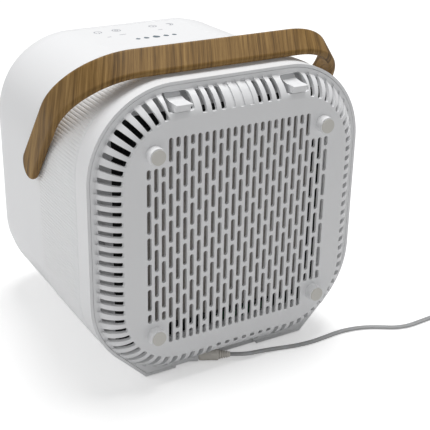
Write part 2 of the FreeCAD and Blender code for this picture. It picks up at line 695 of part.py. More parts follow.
def handle_pivots():
    """Pins, bushes and retaining rings that carry the handle in the housing's sides."""
    pins = []
    bushes = []
    rings = []
    for i, side in enumerate((-1, 1)):
        start = "body_half_width - 12" if side > 0 else "-%s - handle_thick + 2.5" % HANDLE_HALF
        pins.append(rod("handle_pin_%d" % i, "pivot_radius",
                        HANDLE_HALF + " + handle_thick - 2.5 - body_half_width + 12", start,
                        "handle_pivot_y", "handle_pivot_z", "X"))
        outer = rod("bush_outer_%d" % i, "bush_radius", HANDLE_HALF + " - body_half_width + 6.6",
                    "body_half_width - 7" if side > 0 else "-%s + 0.4" % HANDLE_HALF, "handle_pivot_y",
                    "handle_pivot_z", "X")
        inner = rod("bush_bore_%d" % i, "pivot_radius", HANDLE_HALF + " - body_half_width + 9",
                    "body_half_width - 8" if side > 0 else "-%s - 1" % HANDLE_HALF, "handle_pivot_y",
                    "handle_pivot_z", "X")
        bushes.append(cut("bush_%d" % i, outer, [inner]))
        outer = rod("ring_outer_%d" % i, "pivot_radius + 3", "1.5",
                    "body_half_width - 8.5" if side > 0 else "-body_half_width + 7", "handle_pivot_y",
                    "handle_pivot_z", "X")
        inner = rod("ring_bore_%d" % i, "pivot_radius", "3",
                    "body_half_width - 10" if side > 0 else "-body_half_width + 6", "handle_pivot_y",
                    "handle_pivot_z", "X")
        rings.append(cut("ring_%d" % i, outer, [inner]))
    keep("handle_pins", gather("handle_pin_set", pins))
    keep("handle_bushes", gather("bush_set", bushes))
    keep("pin_retaining_rings", gather("ring_set", rings))


def intake_filter():
    """Square felt filter behind the intake grille, in a thin frame with a foam seal."""
    front = "rim_y + plateau_rise - filter_setback - filter_thick"
    keep("intake_filter", box("filter_pad", "2 * filter_half", "filter_thick", "2 * filter_half",
                              "-filter_half", front, "grille_height - filter_half"))
    outer = box("filter_frame_outer", "2 * filter_half + 2 * frame_thick", "filter_thick",
                "2 * filter_half + 2 * frame_thick", "-filter_half - frame_thick", front,
                "grille_height - filter_half - frame_thick")
    inner = box("filter_frame_inner", "2 * filter_half", "filter_thick + 2", "2 * filter_half",
                "-filter_half", front + " - 1", "grille_height - filter_half")
    keep("filter_frame", cut("filter_frame_ring", outer, [inner]))
    seal_y = "bulkhead_y + bulkhead_thick"
    depth = "rim_y + plateau_rise - filter_setback - filter_thick - bulkhead_y - bulkhead_thick"
    outer = box("seal_outer", "2 * filter_half + 2 * frame_thick", depth,
                "2 * filter_half + 2 * frame_thick", "-filter_half - frame_thick", seal_y,
                "grille_height - filter_half - frame_thick")
    inner = box("seal_inner", "2 * filter_half - 8", depth + " + 2", "2 * filter_half - 8",
                "-filter_half + 4", seal_y + " - 1", "grille_height - filter_half + 4")
    keep("filter_seal", cut("seal_ring", outer, [inner]))


def bulkhead():
    """Dark plate across the housing that carries the filter, with a square air opening."""
    rear = S.bulkhead_y + S.bulkhead_thick
    plate = outline_prism(S.body_wall + S.loose_gap, rear, S.bulkhead_thick)
    opening = Part.makeBox(2 * S.air_half, S.bulkhead_thick + 2, 2 * S.air_half,
                           Vector(-S.air_half, S.bulkhead_y - 1, S.grille_height - S.air_half))
    tools = [opening]
    for x, z in (bulkhead_screw_places() + lug_screw_places() + board_screw_places()
                 + bezel_screw_places()):
        tools.append(Part.makeCylinder(S.screw_radius, S.bulkhead_thick + 2, Vector(x, S.bulkhead_y - 1, z),
                                       Y_AXIS))
    bosses = []
    for x, z in bulkhead_screw_places():
        depth = S.bulkhead_y - (S.fan_y + S.bulkhead_thick)
        boss = Part.makeCylinder(S.screw_radius + 2.5, depth, Vector(x, S.bulkhead_y - depth, z), Y_AXIS)
        bore = Part.makeCylinder(S.screw_radius, depth, Vector(x, S.bulkhead_y - depth, z), Y_AXIS)
        bosses.append(boss.cut(bore))
    return keep("bulkhead", feature("bulkhead_plate", plate.cut(tools).fuse(bosses).removeSplitter()))


def filter_bezel():
    """White frame round the filter bay, on bosses that stand on the bulkhead, and its screws."""
    seat = S.bulkhead_y + S.bulkhead_thick
    rear = seat + S.bezel_rise + S.bezel_thick
    plate = outline_prism(S.body_wall + S.loose_gap, rear, S.bezel_thick)
    opening = slot_prism(2 * S.bezel_half, S.grille_height - S.bezel_half, S.grille_height + S.bezel_half,
                         0, seat, rear + 1, 6.0)
    bay = Part.makeBox(bracket_left() + bracket_right() + 2 * S.loose_gap, 2 * S.bezel_rise,
                       bracket_height() + S.loose_gap, Vector(-bracket_right() - S.loose_gap, seat, 0))
    plate = plate.cut([opening, bay])
    bosses = [Part.makeCylinder(4, S.bezel_rise, Vector(x, seat, z), Y_AXIS) for x, z in bezel_screw_places()]
    holes = [Part.makeCylinder(S.screw_radius, 3 * S.bezel_rise, Vector(x, seat - 5, z), Y_AXIS)
             for x, z in bezel_screw_places()]
    keep("filter_bezel", feature("bezel_plate", plate.fuse(bosses).cut(holes)))
    screws = [screw(Vector(x, rear, z), Y_AXIS * -1, S.bezel_rise + S.bezel_thick + 2.5, 1.4)
              for x, z in bezel_screw_places()]
    return keep("bezel_screws", feature("bezel_screw_set", Part.makeCompound(screws)))


def bezel_screw_places():
    """Screws of the filter bezel, outside its opening."""
    reach = S.bezel_half + 10
    return [(-reach, S.grille_height), (reach, S.grille_height),
            (-20.0, S.grille_height + reach), (20.0, S.grille_height + reach)]


def bulkhead_screw_places():
    """Long screws that tie the bulkhead to the fan plate."""
    return [(x, z) for x in (-93.0, 93.0) for z in (70.0, 185.0)]


def bulkhead_screws():
    """Bulkhead screws, with heads on the rear side."""
    length = S.bulkhead_y + S.bulkhead_thick - S.fan_y - 0.5
    screws = [screw(Vector(x, S.bulkhead_y + S.bulkhead_thick, z), Y_AXIS * -1, length, 1.6)
              for x, z in bulkhead_screw_places()]
    screws += [screw(Vector(x, S.bulkhead_y + S.bulkhead_thick, z), Y_AXIS * -1, S.bulkhead_thick + 9, 1.6)
               for x, z in lug_screw_places()]
    return keep("bulkhead_screws", feature("bulkhead_screw_set", Part.makeCompound(screws)))


def screw(seat, direction, length, head):
    """A pan-head screw: its head stands on a seat and its shank runs along a direction."""
    shank = Part.makeCylinder(S.screw_radius, length, seat, direction)
    cap = Part.makeCylinder(S.head_radius, head, seat - direction * head, direction)
    recess = Part.makeCylinder(S.head_radius * 0.35, head * 0.6, seat - direction * head, direction)
    return cap.fuse(shank).cut(recess).removeSplitter()


def wick():
    """Evaporating wick standing in the tank, held in an upright frame."""
    front = "bulkhead_y - wick_thick"
    foot = "tank_low + frame_thick"
    depth = "wick_thick - tank_gap - frame_thick - loose_gap - 1"
    keep("wick_pad", box("wick_block", "2 * wick_half", depth, "wick_high - tank_low - frame_thick",
                         "-wick_half", front + " + 1", foot))
    outer = box("wick_frame_outer", "2 * wick_half + 2 * frame_thick", "wick_thick",
                "wick_high - tank_high + frame_thick - 3", "-wick_half - frame_thick", front, "tank_high + 3")
    inner = box("wick_frame_inner", "2 * wick_half", "wick_thick + 2", "wick_high - tank_high - 3 + 1",
                "-wick_half", front + " - 1", "tank_high + 3 - 1")
    keep("wick_frame", cut("wick_frame_arch", outer, [inner]))


def tank_block(inset):
    """The tank's form, drawn in by its wall on all sides but the top."""
    half = S.tank_half - inset
    low = S.tank_low + inset
    bevel = S.tank_chamfer + inset * (math.sqrt(2) - 2)
    high = S.tank_high + inset
    front = S.tank_front + inset
    outline = [(-half, high), (-half, low + bevel + inset), (-half + bevel + inset, low),
               (half - bevel - inset, low), (half, low + bevel + inset), (half, high)]
    rear = S.bulkhead_y - S.tank_gap - inset
    return prism([Vector(x, front, z) for x, z in outline], Vector(0, rear - front, 0))


def water_tank():
    """Open tray that holds the water under the wick."""
    wall = S.frame_thick
    keep("water_tank", feature("tank_tray", tank_block(0).cut(tank_block(wall))))
    guide_x = "tank_half - 24"
    guide_y = "tank_front + 24"
    floor = "tank_low + frame_thick"
    keep("float_guide", fuse("float_guide_post", [
        rod("guide_post", "2", "tank_high - tank_low - frame_thick - 3", guide_x, guide_y, floor),
        rod("guide_foot", "4", "1.5", guide_x, guide_y, floor),
    ]))
    body = rod("float_body", "11", "9", guide_x, guide_y, floor + " + 1.9")
    bore = rod("float_bore", "2.6", "12", guide_x, guide_y, floor + " + 0.5")
    keep("level_float", cut("float_ring", body, [bore]))
    feet = []
    rear_y = "bulkhead_y - tank_gap - 14"
    for i, (sx, y) in enumerate(((-1, "tank_front + 14"), (1, "tank_front + 14"), (-1, rear_y), (1, rear_y))):
        feet.append(rod("tank_foot_%d" % i, "5", "tank_low - base_height - body_wall - plate_thick",
                        "%d * (tank_half - 32)" % sx, y, "base_height + body_wall + plate_thick"))
    keep("tank_bumpers", gather("tank_bumper_set", feet))


def fan_shroud():
    """Plate and round duct round the fan, with struts to the motor seat."""
    rear = S.fan_y + S.bulkhead_thick
    plate = outline_prism(S.body_wall + S.loose_gap, rear, S.bulkhead_thick)
    below = Part.makeBox(4 * S.body_half_width, 20, S.tank_high + 3,
                         Vector(-2 * S.body_half_width, S.fan_y - 10, 0))
    centre = Vector(0, S.fan_y - S.duct_length, S.fan_height)
    wall = S.frame_thick
    tube = Part.makeCylinder(S.duct_radius + wall, S.duct_length, centre, Y_AXIS)
    bore = Part.makeCylinder(S.duct_radius, S.duct_length + S.bulkhead_thick + 2, centre - Y_AXIS, Y_AXIS)
    body = plate.cut(below).fuse(tube).cut(bore)
    seat = Part.makeCylinder(S.motor_radius, 3, centre, Y_AXIS)
    struts = []
    for angle in (45, 135, 225, 315):
        strut = Part.makeBox(S.duct_radius + 1, 3, 5, centre + Vector(0, 0, -2.5))
        strut.rotate(centre, Y_AXIS, angle)
        struts.append(strut)
    body = body.fuse([seat] + struts)
    tools = [Part.makeCylinder(S.shaft_radius + 3, 6, centre - Y_AXIS, Y_AXIS)]
    for x, z in motor_screw_places():
        tools.append(Part.makeCylinder(S.screw_radius, 6, Vector(x, centre.y - 1, z), Y_AXIS))
    for x, z in bulkhead_screw_places():
        tools.append(Part.makeCylinder(S.screw_radius, 6, Vector(x, S.fan_y - 1, z), Y_AXIS))
    return keep("fan_shroud", feature("shroud", body.cut(tools).removeSplitter()))


def motor_screw_places():
    """Motor screws on a circle round the shaft."""
    reach = S.motor_radius * 0.7
    return [(reach * math.sin(a), S.fan_height + reach * math.cos(a))
            for a in map(math.radians, (0, 90, 180, 270))]


def motor():
    """Motor case with its ring of windings and bearings, in front of the shroud's seat."""
    seat_y = S.fan_y - S.duct_length
    start = Vector(0, seat_y - S.motor_length, S.fan_height)
    case = Part.makeCylinder(S.motor_radius, S.motor_length, start, Y_AXIS)
    hollow = Part.makeCylinder(S.motor_radius - 1.5, S.motor_length - 8, start + Y_AXIS * 4, Y_AXIS)
    bearing_radius = S.shaft_radius + 5
    seats = [Part.makeCylinder(bearing_radius, 4, start + Y_AXIS * offset, Y_AXIS)
             for offset in (2, S.motor_length - 4)]
    bore = Part.makeCylinder(S.shaft_radius + 1.5, S.motor_length, start + Y_AXIS, Y_AXIS)
    holes = [Part.makeCylinder(S.screw_radius, 5, Vector(x, seat_y - 4, z), Y_AXIS)
             for x, z in motor_screw_places()]
    keep("motor_case", feature("motor_case_shape", case.cut([hollow, bore] + seats + holes)))
    stator = Part.makeCylinder(S.motor_radius - 1.5, S.motor_length - 14, start + Y_AXIS * 7, Y_AXIS)
    gap = Part.makeCylinder(S.shaft_radius + 9.4, S.motor_length, start, Y_AXIS)
    keep("motor_windings", feature("stator", stator.cut(gap)))
    bearings = []
    for offset in (2, S.motor_length - 4):
        ring = Part.makeCylinder(bearing_radius, 4, start + Y_AXIS * offset, Y_AXIS)
        hole = Part.makeCylinder(S.shaft_radius + S.running_gap, 4, start + Y_AXIS * offset, Y_AXIS)
        bearings.append(ring.cut(hole))
    keep("motor_bearings", feature("bearing_set", Part.makeCompound(bearings)))
    screws = [screw(Vector(x, seat_y + 3, z), Y_AXIS * -1, 6.5, 1.6) for x, z in motor_screw_places()]
    keep("motor_screws", feature("motor_screw_set", Part.makeCompound(screws)))
    return start


def fan(motor_start):
    """Shaft with its magnet, hub with swept blades, and the hub's nut."""
    hub_front = S.fan_y - S.duct_length + 8
    hub_depth = 18.0
    shaft_end = hub_front + hub_depth + 7
    shaft_start = motor_start + Y_AXIS * 2.5
    keep("motor_shaft", feature("shaft", Part.makeCylinder(S.shaft_radius, shaft_end - shaft_start.y,
                                                          shaft_start, Y_AXIS)))
    magnet = Part.makeCylinder(S.shaft_radius + 8.6, S.motor_length - 15, motor_start + Y_AXIS * 7.5, Y_AXIS)
    magnet = magnet.cut(Part.makeCylinder(S.shaft_radius, S.motor_length, motor_start, Y_AXIS))
    keep("motor_magnet", feature("magnet", magnet))
    centre = Vector(0, hub_front, S.fan_height)
    hub = Part.makeCylinder(S.hub_radius, hub_depth, centre, Y_AXIS)
    hollow = Part.makeCylinder(S.hub_radius - 2, hub_depth - 3, centre, Y_AXIS)
    boss = Part.makeCylinder(S.shaft_radius + 4, hub_depth, centre, Y_AXIS)
    tip = S.duct_radius - S.blade_gap
    blades = []
    for k in range(int(S.blade_count)):
        blade = Part.makeBox(34, 1.8, tip, Vector(-17, -0.9, 0))
        blade.rotate(Vector(), Z_AXIS, 28)
        blade.translate(Vector(0, hub_depth / 2, 0))
        blade.rotate(Vector(), Y_AXIS, k * 360.0 / S.blade_count)
        blade.translate(centre)
        blades.append(blade)
    disc = Part.makeCylinder(tip, hub_depth, centre, Y_AXIS).cut(
        Part.makeCylinder(S.hub_radius - 1, hub_depth, centre, Y_AXIS))
    swept = Part.makeCompound([blade.common(disc) for blade in blades])
    rotor = hub.cut(hollow).fuse([boss] + swept.Solids)
    rotor = rotor.cut(Part.makeCylinder(S.shaft_radius, 60, centre - Y_AXIS * 10, Y_AXIS))
    keep("fan_rotor", feature("rotor", rotor))
    nut = Part.makeCylinder(S.shaft_radius + 3, 4, centre + Y_AXIS * hub_depth, Y_AXIS)
    nut = nut.cut(Part.makeCylinder(S.shaft_radius, 6, centre + Y_AXIS * (hub_depth - 1), Y_AXIS))
    keep("fan_nut", feature("hub_nut", nut))


def outlet():
    """Cone duct from the fan to the front, and the louvred grille that closes it."""
    front = S.rim_y - S.body_depth
    rear_y = S.fan_y - S.duct_length
    front_y = front + S.body_wall + 8.4
    length = rear_y - front_y
    drop = S.outlet_height - S.fan_height
    wall = 2.0
    near = S.duct_radius + S.frame_thick

    def ring_wire(radius, y, z):
        return Part.Wire(Part.Circle(Vector(0, y, z), Y_AXIS, radius).toShape())

    outer = Part.makeLoft([ring_wire(near, rear_y, S.fan_height),
                           ring_wire(S.outlet_radius, rear_y - length, S.fan_height + drop)], True, True)
    inner = Part.makeLoft([ring_wire(near - wall, rear_y, S.fan_height),
                           ring_wire(S.outlet_radius - wall, rear_y - length, S.fan_height + drop)],
                          True, True)
    keep("outlet_duct", feature("duct_cone", outer.cut(inner)))
    face_y = front + 0.4
    depth = S.body_wall + 8
    centre = Vector(0, face_y, S.outlet_height)
    rim = Part.makeCylinder(S.outlet_radius, depth, centre, Y_AXIS)
    flange = Part.makeCylinder(S.outlet_radius + 3.5, 2,
                               Vector(0, front + S.body_wall, S.outlet_height), Y_AXIS)
    rim = rim.fuse(flange)
    hole = Part.makeCylinder(S.outlet_radius - 3, depth, centre, Y_AXIS)
    slats = []
    count = int(S.louvre_count)
    pitch = 2 * (S.outlet_radius - 3) / count
    for k in range(count):
        z = S.outlet_height - S.outlet_radius + 3 + pitch * (k + 0.5)
        slat = Part.makeBox(2 * S.outlet_radius, depth + 1, 1.8, Vector(-S.outlet_radius, face_y, z - 0.9))
        slat.rotate(Vector(0, face_y + depth / 2, z), X_AXIS, -24)
        slats.append(slat)
    rib = Part.makeBox(2.4, depth, 2 * S.outlet_radius,
                       Vector(-1.2, face_y, S.outlet_height - S.outlet_radius))
    inside = Part.makeCylinder(S.outlet_radius - 2, depth - 1.6, centre + Y_AXIS * 0.8, Y_AXIS)
    bars = Part.makeCompound([s.common(inside) for s in slats + [rib]])
    keep("front_grille", feature("louvre_grille", rim.cut(hole).fuse(bars.Solids).removeSplitter()))


def bracket_left():
    """+X end of the jack bracket."""
    return S.plug_x + 22


def bracket_right():
    """-X end of the jack bracket."""
    return S.notch_right + 3


def bracket_front():
    """Front face of the jack bracket."""
    return S.bulkhead_y + S.bulkhead_thick


def bracket_height():
    """Top of the jack bracket above the ground."""
    return S.notch_height + 2.4


def jack():
    """Moulded bracket behind the notch, and the supply jack that it holds at a slant."""
    rear = S.rim_y - S.cover_wall - 0.6
    block = Part.makeBox(bracket_left() + bracket_right(), rear - bracket_front(),
                         bracket_height() - S.base_height,
                         Vector(-bracket_right(), bracket_front(), S.base_height))
    pocket = plug_box(0, S.plug_length + 8, S.plug_radius + 1.4, 0, S.notch_height)
    seat = plug_box(-13, 13, 4.5, 0, 2 * S.plug_height - S.base_height)
    keep("jack_bracket", feature("jack_bracket_shape", block.cut([pocket, seat])))
    body = plug_box(-13, 13, 4.5, S.base_height + 0.2, 2 * S.plug_height - S.base_height)
    bore = plug_rod(S.barrel_radius + 0.3, -S.barrel_length - 0.5, S.barrel_length + 1)
    pin = plug_rod(0.9, -S.barrel_length - 1, S.barrel_length - 1)
    keep("supply_jack", feature("supply_jack_shape", body.cut(bore).fuse(pin)))


def boards():
    """Supply board behind the bulkhead, control board and light guides under the top."""
    board_y = S.bulkhead_y + S.bulkhead_thick + 2
    low = board_low()
    board = Part.makeBox(56, 1.6, 18, Vector(-54, board_y, low))
    for x, z in board_screw_places():
        board = board.cut(Part.makeCylinder(S.screw_radius, 4, Vector(x, board_y - 1, z), Y_AXIS))
    chips = [Part.makeBox(12, 3.6, 8, Vector(-44, board_y + 1.6, low + 5)),
             Part.makeBox(8, 3, 6, Vector(-20, board_y + 1.6, low + 6))]
    keep("supply_board", feature("supply_board_shape", board.fuse(chips)))
    spacers = []
    screws = []
    for x, z in board_screw_places():
        tube = Part.makeCylinder(2.6, 2, Vector(x, board_y - 2, z), Y_AXIS)
        spacers.append(tube.cut(Part.makeCylinder(S.screw_radius, 2, Vector(x, board_y - 2, z), Y_AXIS)))
        screws.append(screw(Vector(x, board_y + 1.6, z), Y_AXIS * -1, 5.5, 1.4))
    keep("board_spacers", feature("board_spacer_set", Part.makeCompound(spacers)))
    keep("board_screws", feature("board_screw_set", Part.makeCompound(screws)))
    board_z = board_height()
    top_inside = board_z + 9
    keep("control_board", feature("control_board_shape",
                                  Part.makeBox(96, 26, 1.6, Vector(-48, icon_y() - 5, board_z))))
    guides = [Part.makeCylinder(1.6, top_inside - 0.6 - board_z - 1.6, Vector(x, icon_y(), board_z + 1.6))
              for x in (-35.4, -18.6, 15.0, 34.2)]
    keep("light_guides", feature("light_guide_set", Part.makeCompound(guides)))
    tray = Part.makeBox(116, 26, 5, Vector(-58, icon_y() - 5, board_z - 5))
    tray = tray.cut(Part.makeBox(90, 20, 3.4, Vector(-45, icon_y() - 2, board_z - 3.4)))
    screws = []
    for x, y in tray_screw_places():
        tray = tray.cut(Part.makeCylinder(S.screw_radius, 6, Vector(x, y, board_z - 5.5)))
        screws.append(screw(Vector(x, y, board_z - 5), Z_AXIS, 10, 1.4))
    keep("board_tray", feature("board_tray_shape", tray))
    keep("tray_screws", feature("tray_screw_set", Part.makeCompound(screws)))


def icon_y():
    """Depth of the touch icons on the top."""
    return S.rim_y + S.plateau_rise - 180 + 6


def board_screw_places():
    """Screws of the supply board."""
    return [(x, board_low() + z) for x in (-51.0, -1.0) for z in (3.0, 15.0)]


def board_low():
    """Lower edge of the supply board, over the jack bracket."""
    return bracket_height() + 1.1


def base():
    """Base plate over the service opening, its screws, and the pads the body stands on."""
    wall = S.body_wall
    low = S.base_height
    boss_high = S.tank_low - S.loose_gap - low - wall - S.plate_thick
    plate = Part.makeBox(140, 124, S.plate_thick, Vector(-70, -52, low + wall))
    plug = service_opening(S.cover_gap)
    plug = plug.common(Part.makeBox(400, 400, wall, Vector(-200, -200, low)))
    bosses = [Part.makeCylinder(S.screw_radius + 2.5, boss_high, Vector(x, y, low + wall + S.plate_thick))
              for x, y in base_screw_places()]
    plate = plate.fuse([plug] + bosses)
    for x, y in base_screw_places():
        plate = plate.cut(Part.makeCylinder(S.screw_radius, 12, Vector(x, y, low)))
    keep("base_plate", feature("base_plate_shape", plate.removeSplitter()))
    screws = [screw(Vector(x, y, low + wall / 2), Z_AXIS, wall / 2 + S.plate_thick + boss_high - 0.5,
                    wall / 2 - 0.2) for x, y in base_screw_places()]
    keep("base_screws", feature("base_screw_set", Part.makeCompound(screws)))
    pads = [rod("base_pad_%d" % i, "pad_radius", "pad_thick", str(x), str(y), "0")
            for i, (x, y) in enumerate(base_pad_places())]
    keep("base_pads", gather("base_pad_set", pads))


# The lead's route: from the strain relief down to the ground, along the rear, away to the side.
CORD_ROUTE = [
    (-4.9, 113.5, 5.3), (-14.0, 115.6, 4.9), (-24.0, 114.8, 4.0), (-35.0, 115.2, 2.9), (-46.0, 117.4, 2.3),
    (-58.0, 120.2, 2.3), (-72.7, 121.8, 2.3), (-88.0, 120.9, 2.3), (-103.0, 119.6, 2.3), (-117.0, 121.0, 2.3),
    (-129.8, 124.7, 2.3), (-140.6, 130.6, 2.3), (-150.6, 137.2, 2.3), (-162.7, 140.8, 2.3),
    (-176.0, 140.4, 2.3), (-188.0, 139.6, 2.3), (-200.0, 139.2, 2.3), (-212.0, 139.0, 2.3),
]


def rounded_path(route):
    """Straight runs joined by tangent arcs, as large as the runs allow. Prints each arc's radius."""
    points = [Vector(*p) for p in route]
    edges = []
    radii = []
    start = points[0]
    for before, corner, after in zip(points, points[1:], points[2:]):
        inward = (before - corner).normalize()
        outward = (after - corner).normalize()
        turn = math.pi - inward.getAngle(outward)
        run = min((before - corner).Length, (after - corner).Length)
        reach = 0.45 * run
        radius = reach / math.tan(turn / 2)
        first = corner + inward * reach
        last = corner + outward * reach
        bisector = (inward + outward).normalize()
        centre = corner + bisector * math.hypot(radius, reach)
        middle = centre - bisector * radius
        edges.append(Part.LineSegment(start, first).toShape())
        edges.append(Part.Arc(first, middle, last).toShape())
        radii.append(radius)
        start = last
    edges.append(Part.LineSegment(start, points[-1]).toShape())
    return Part.Wire(edges), radii


def cord_tube(route, radius):
    """A round tube swept along a rounded path."""
    path, radii = rounded_path(route)
    direction = Vector(*route[1]) - Vector(*route[0])
    section = Part.Wire(Part.Circle(Vector(*route[0]), direction, radius).toShape())
    tube = path.makePipeShell([section], True, False)
    expected = math.pi * radius ** 2 * path.Length
    print("cord radii", [round(r, 1) for r in radii], "length", round(path.Length, 1),
          "volume ratio", round(tube.Volume / expected, 4))
    return tube


COIL_CENTRE = Vector(-230.0, 168.0, 0)
COIL_MIDDLE_RADIUS = 24.2
COIL_HALF_BAND = 7.0
COIL_HEIGHT = 15.0
COIL_TAIL_HEIGHT = 12.5
STUB_LENGTH = 18.0


def supply_lead():
    """Moulded plug with its barrel and strain relief, and the lead on the ground."""
    flare = plug_rod(S.plug_radius * 0.8, 0.3, 1.6, S.plug_radius)
    body = flare.fuse(plug_rod(S.plug_radius, 1.9, S.plug_length - 1.9)).removeSplitter()
    keep("supply_plug", feature("supply_plug_shape", body))
    barrel = plug_rod(S.barrel_radius, -S.barrel_length + 0.3, S.barrel_length)
    core = plug_rod(1.2, -S.barrel_length + 0.3, S.barrel_length)
    keep("plug_barrel", feature("plug_barrel_shape", barrel.cut(core)))
    relief = plug_rod(3.5, S.plug_length, S.relief_length, S.cord_radius + 0.5)
    keep("plug_strain_relief", feature("relief_shape", relief))
    along, _ = plug_frame()
    start = Vector(S.plug_x, S.plug_y, S.plug_height) + along * (S.plug_length + S.relief_length)
    route = [(start.x, start.y, start.z)] + CORD_ROUTE
    keep("power_cord", feature("power_cord_shape", cord_tube(route, S.cord_radius)))


def cord_coil():
    """The rest of the lead, coiled: a ring with short tangent ends for the lead and the adapter."""
    ring = Part.makeCylinder(COIL_MIDDLE_RADIUS + COIL_HALF_BAND, COIL_HEIGHT, COIL_CENTRE)
    ring = ring.cut(Part.makeCylinder(COIL_MIDDLE_RADIUS - COIL_HALF_BAND, COIL_HEIGHT, COIL_CENTRE))
    outer_turn = COIL_MIDDLE_RADIUS + COIL_HALF_BAND - S.cord_radius
    arrival = COIL_CENTRE + Vector(0, -outer_turn, CORD_ROUTE[-1][2])
    departure = COIL_CENTRE + Vector(-outer_turn, 0, COIL_TAIL_HEIGHT)
    ends = [Part.makeCylinder(S.cord_radius, STUB_LENGTH, arrival, X_AXIS),
            Part.makeCylinder(S.cord_radius, STUB_LENGTH, departure, Y_AXIS)]
    keep("cord_coil", feature("cord_coil_shape", ring.fuse(ends).removeSplitter()))
    return departure + Y_AXIS * STUB_LENGTH


def wall_adapter(start):
    """Small wall adapter lying beside the coil, with its lead gland and two flat blades."""
    gland_length = 12.0
    width, length, thick = 34.0, 42.0, 2 * COIL_TAIL_HEIGHT
    gland = Part.makeCone(S.cord_radius + 0.5, 3.6, gland_length, start, Y_AXIS)
    keep("adapter_gland", feature("adapter_gland_shape", gland))
    rear = start + Y_AXIS * gland_length
    case = Part.makeBox(width, length, thick, rear + Vector(-width / 2, 0, -COIL_TAIL_HEIGHT))
    keep("wall_adapter", feature("wall_adapter_shape", case.makeFillet(4, case.Edges)))
    blades = [Part.makeBox(1.5, 16, 6.3, rear + Vector(offset - 0.75, length, -3.15))
              for offset in (-6.35, 6.35)]
    keep("adapter_blades", feature("adapter_blade_set", Part.makeCompound(blades)))


def check_and_write():
    """Recompute, refuse failed objects or bad shapes, and write one file per sub-part."""
    DOC.recompute()
    failed = [o.Name for o in DOC.Objects if set(o.State) & {"Invalid", "Error"}]
    if failed:
        raise RuntimeError("failed objects: %s" % failed)
    for node, item in KEPT.items():
        if item.Shape.isNull() or not item.Shape.isValid() or item.Shape.Volume <= 0:
            raise RuntimeError("bad shape: " + node)
    os.makedirs("parts", exist_ok=True)
    for node, item in KEPT.items():
        item.Shape.exportStep("parts/%s.step" % node)
        span = item.Shape.BoundBox
        print("%-20s solids %d volume %.0f box %.1f %.1f %.1f to %.1f %.1f %.1f" % (
            node, len(item.Shape.Solids), item.Shape.Volume, span.XMin, span.YMin, span.ZMin,
            span.XMax, span.YMax, span.ZMax))


main_housing()
rear_cover()
rear_posts()
rear_pads()
latch("latch_left", -1)
latch("latch_right", 1)
latch_pins()
latch_springs()
handle()
handle_pivots()
intake_filter()
bulkhead()
bulkhead_screws()
filter_bezel()
wick()
water_tank()
fan_shroud()
fan(motor())
outlet()
jack()
boards()
base()
supply_lead()
wall_adapter(cord_coil())
check_and_write()
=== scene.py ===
"""Looks of a cool mist humidifier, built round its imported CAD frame. Metres, +Z up, +Y out of the intake."""

import json
import logging
import math
from dataclasses import dataclass
from enum import Enum
from typing import Callable, Dict, List, Sequence, Tuple

import bmesh
import bpy
from mathutils import Matrix, Vector


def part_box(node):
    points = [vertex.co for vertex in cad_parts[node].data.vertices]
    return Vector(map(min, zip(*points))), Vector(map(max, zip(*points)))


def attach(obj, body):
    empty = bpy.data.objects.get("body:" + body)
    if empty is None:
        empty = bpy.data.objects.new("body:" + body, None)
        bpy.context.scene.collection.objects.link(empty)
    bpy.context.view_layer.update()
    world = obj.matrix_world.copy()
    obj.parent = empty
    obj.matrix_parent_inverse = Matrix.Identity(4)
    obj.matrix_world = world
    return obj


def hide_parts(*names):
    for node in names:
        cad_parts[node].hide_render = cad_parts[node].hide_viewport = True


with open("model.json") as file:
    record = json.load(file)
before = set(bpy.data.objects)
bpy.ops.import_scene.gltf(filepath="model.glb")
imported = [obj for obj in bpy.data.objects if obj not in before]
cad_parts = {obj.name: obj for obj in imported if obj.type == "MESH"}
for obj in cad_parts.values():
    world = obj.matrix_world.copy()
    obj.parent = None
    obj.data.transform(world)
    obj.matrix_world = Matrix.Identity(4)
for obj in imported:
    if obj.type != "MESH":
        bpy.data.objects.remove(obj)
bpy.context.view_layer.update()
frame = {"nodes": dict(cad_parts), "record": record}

MM = 0.001
Point = Tuple[float, float, float]
Colour = Tuple[float, float, float]
log = logging.getLogger("humidifier")


class Body(Enum):
    """CAD bodies that pieces ride on."""

    HOUSING = "housing"


# ---------------------------------------------------------------- shader tools


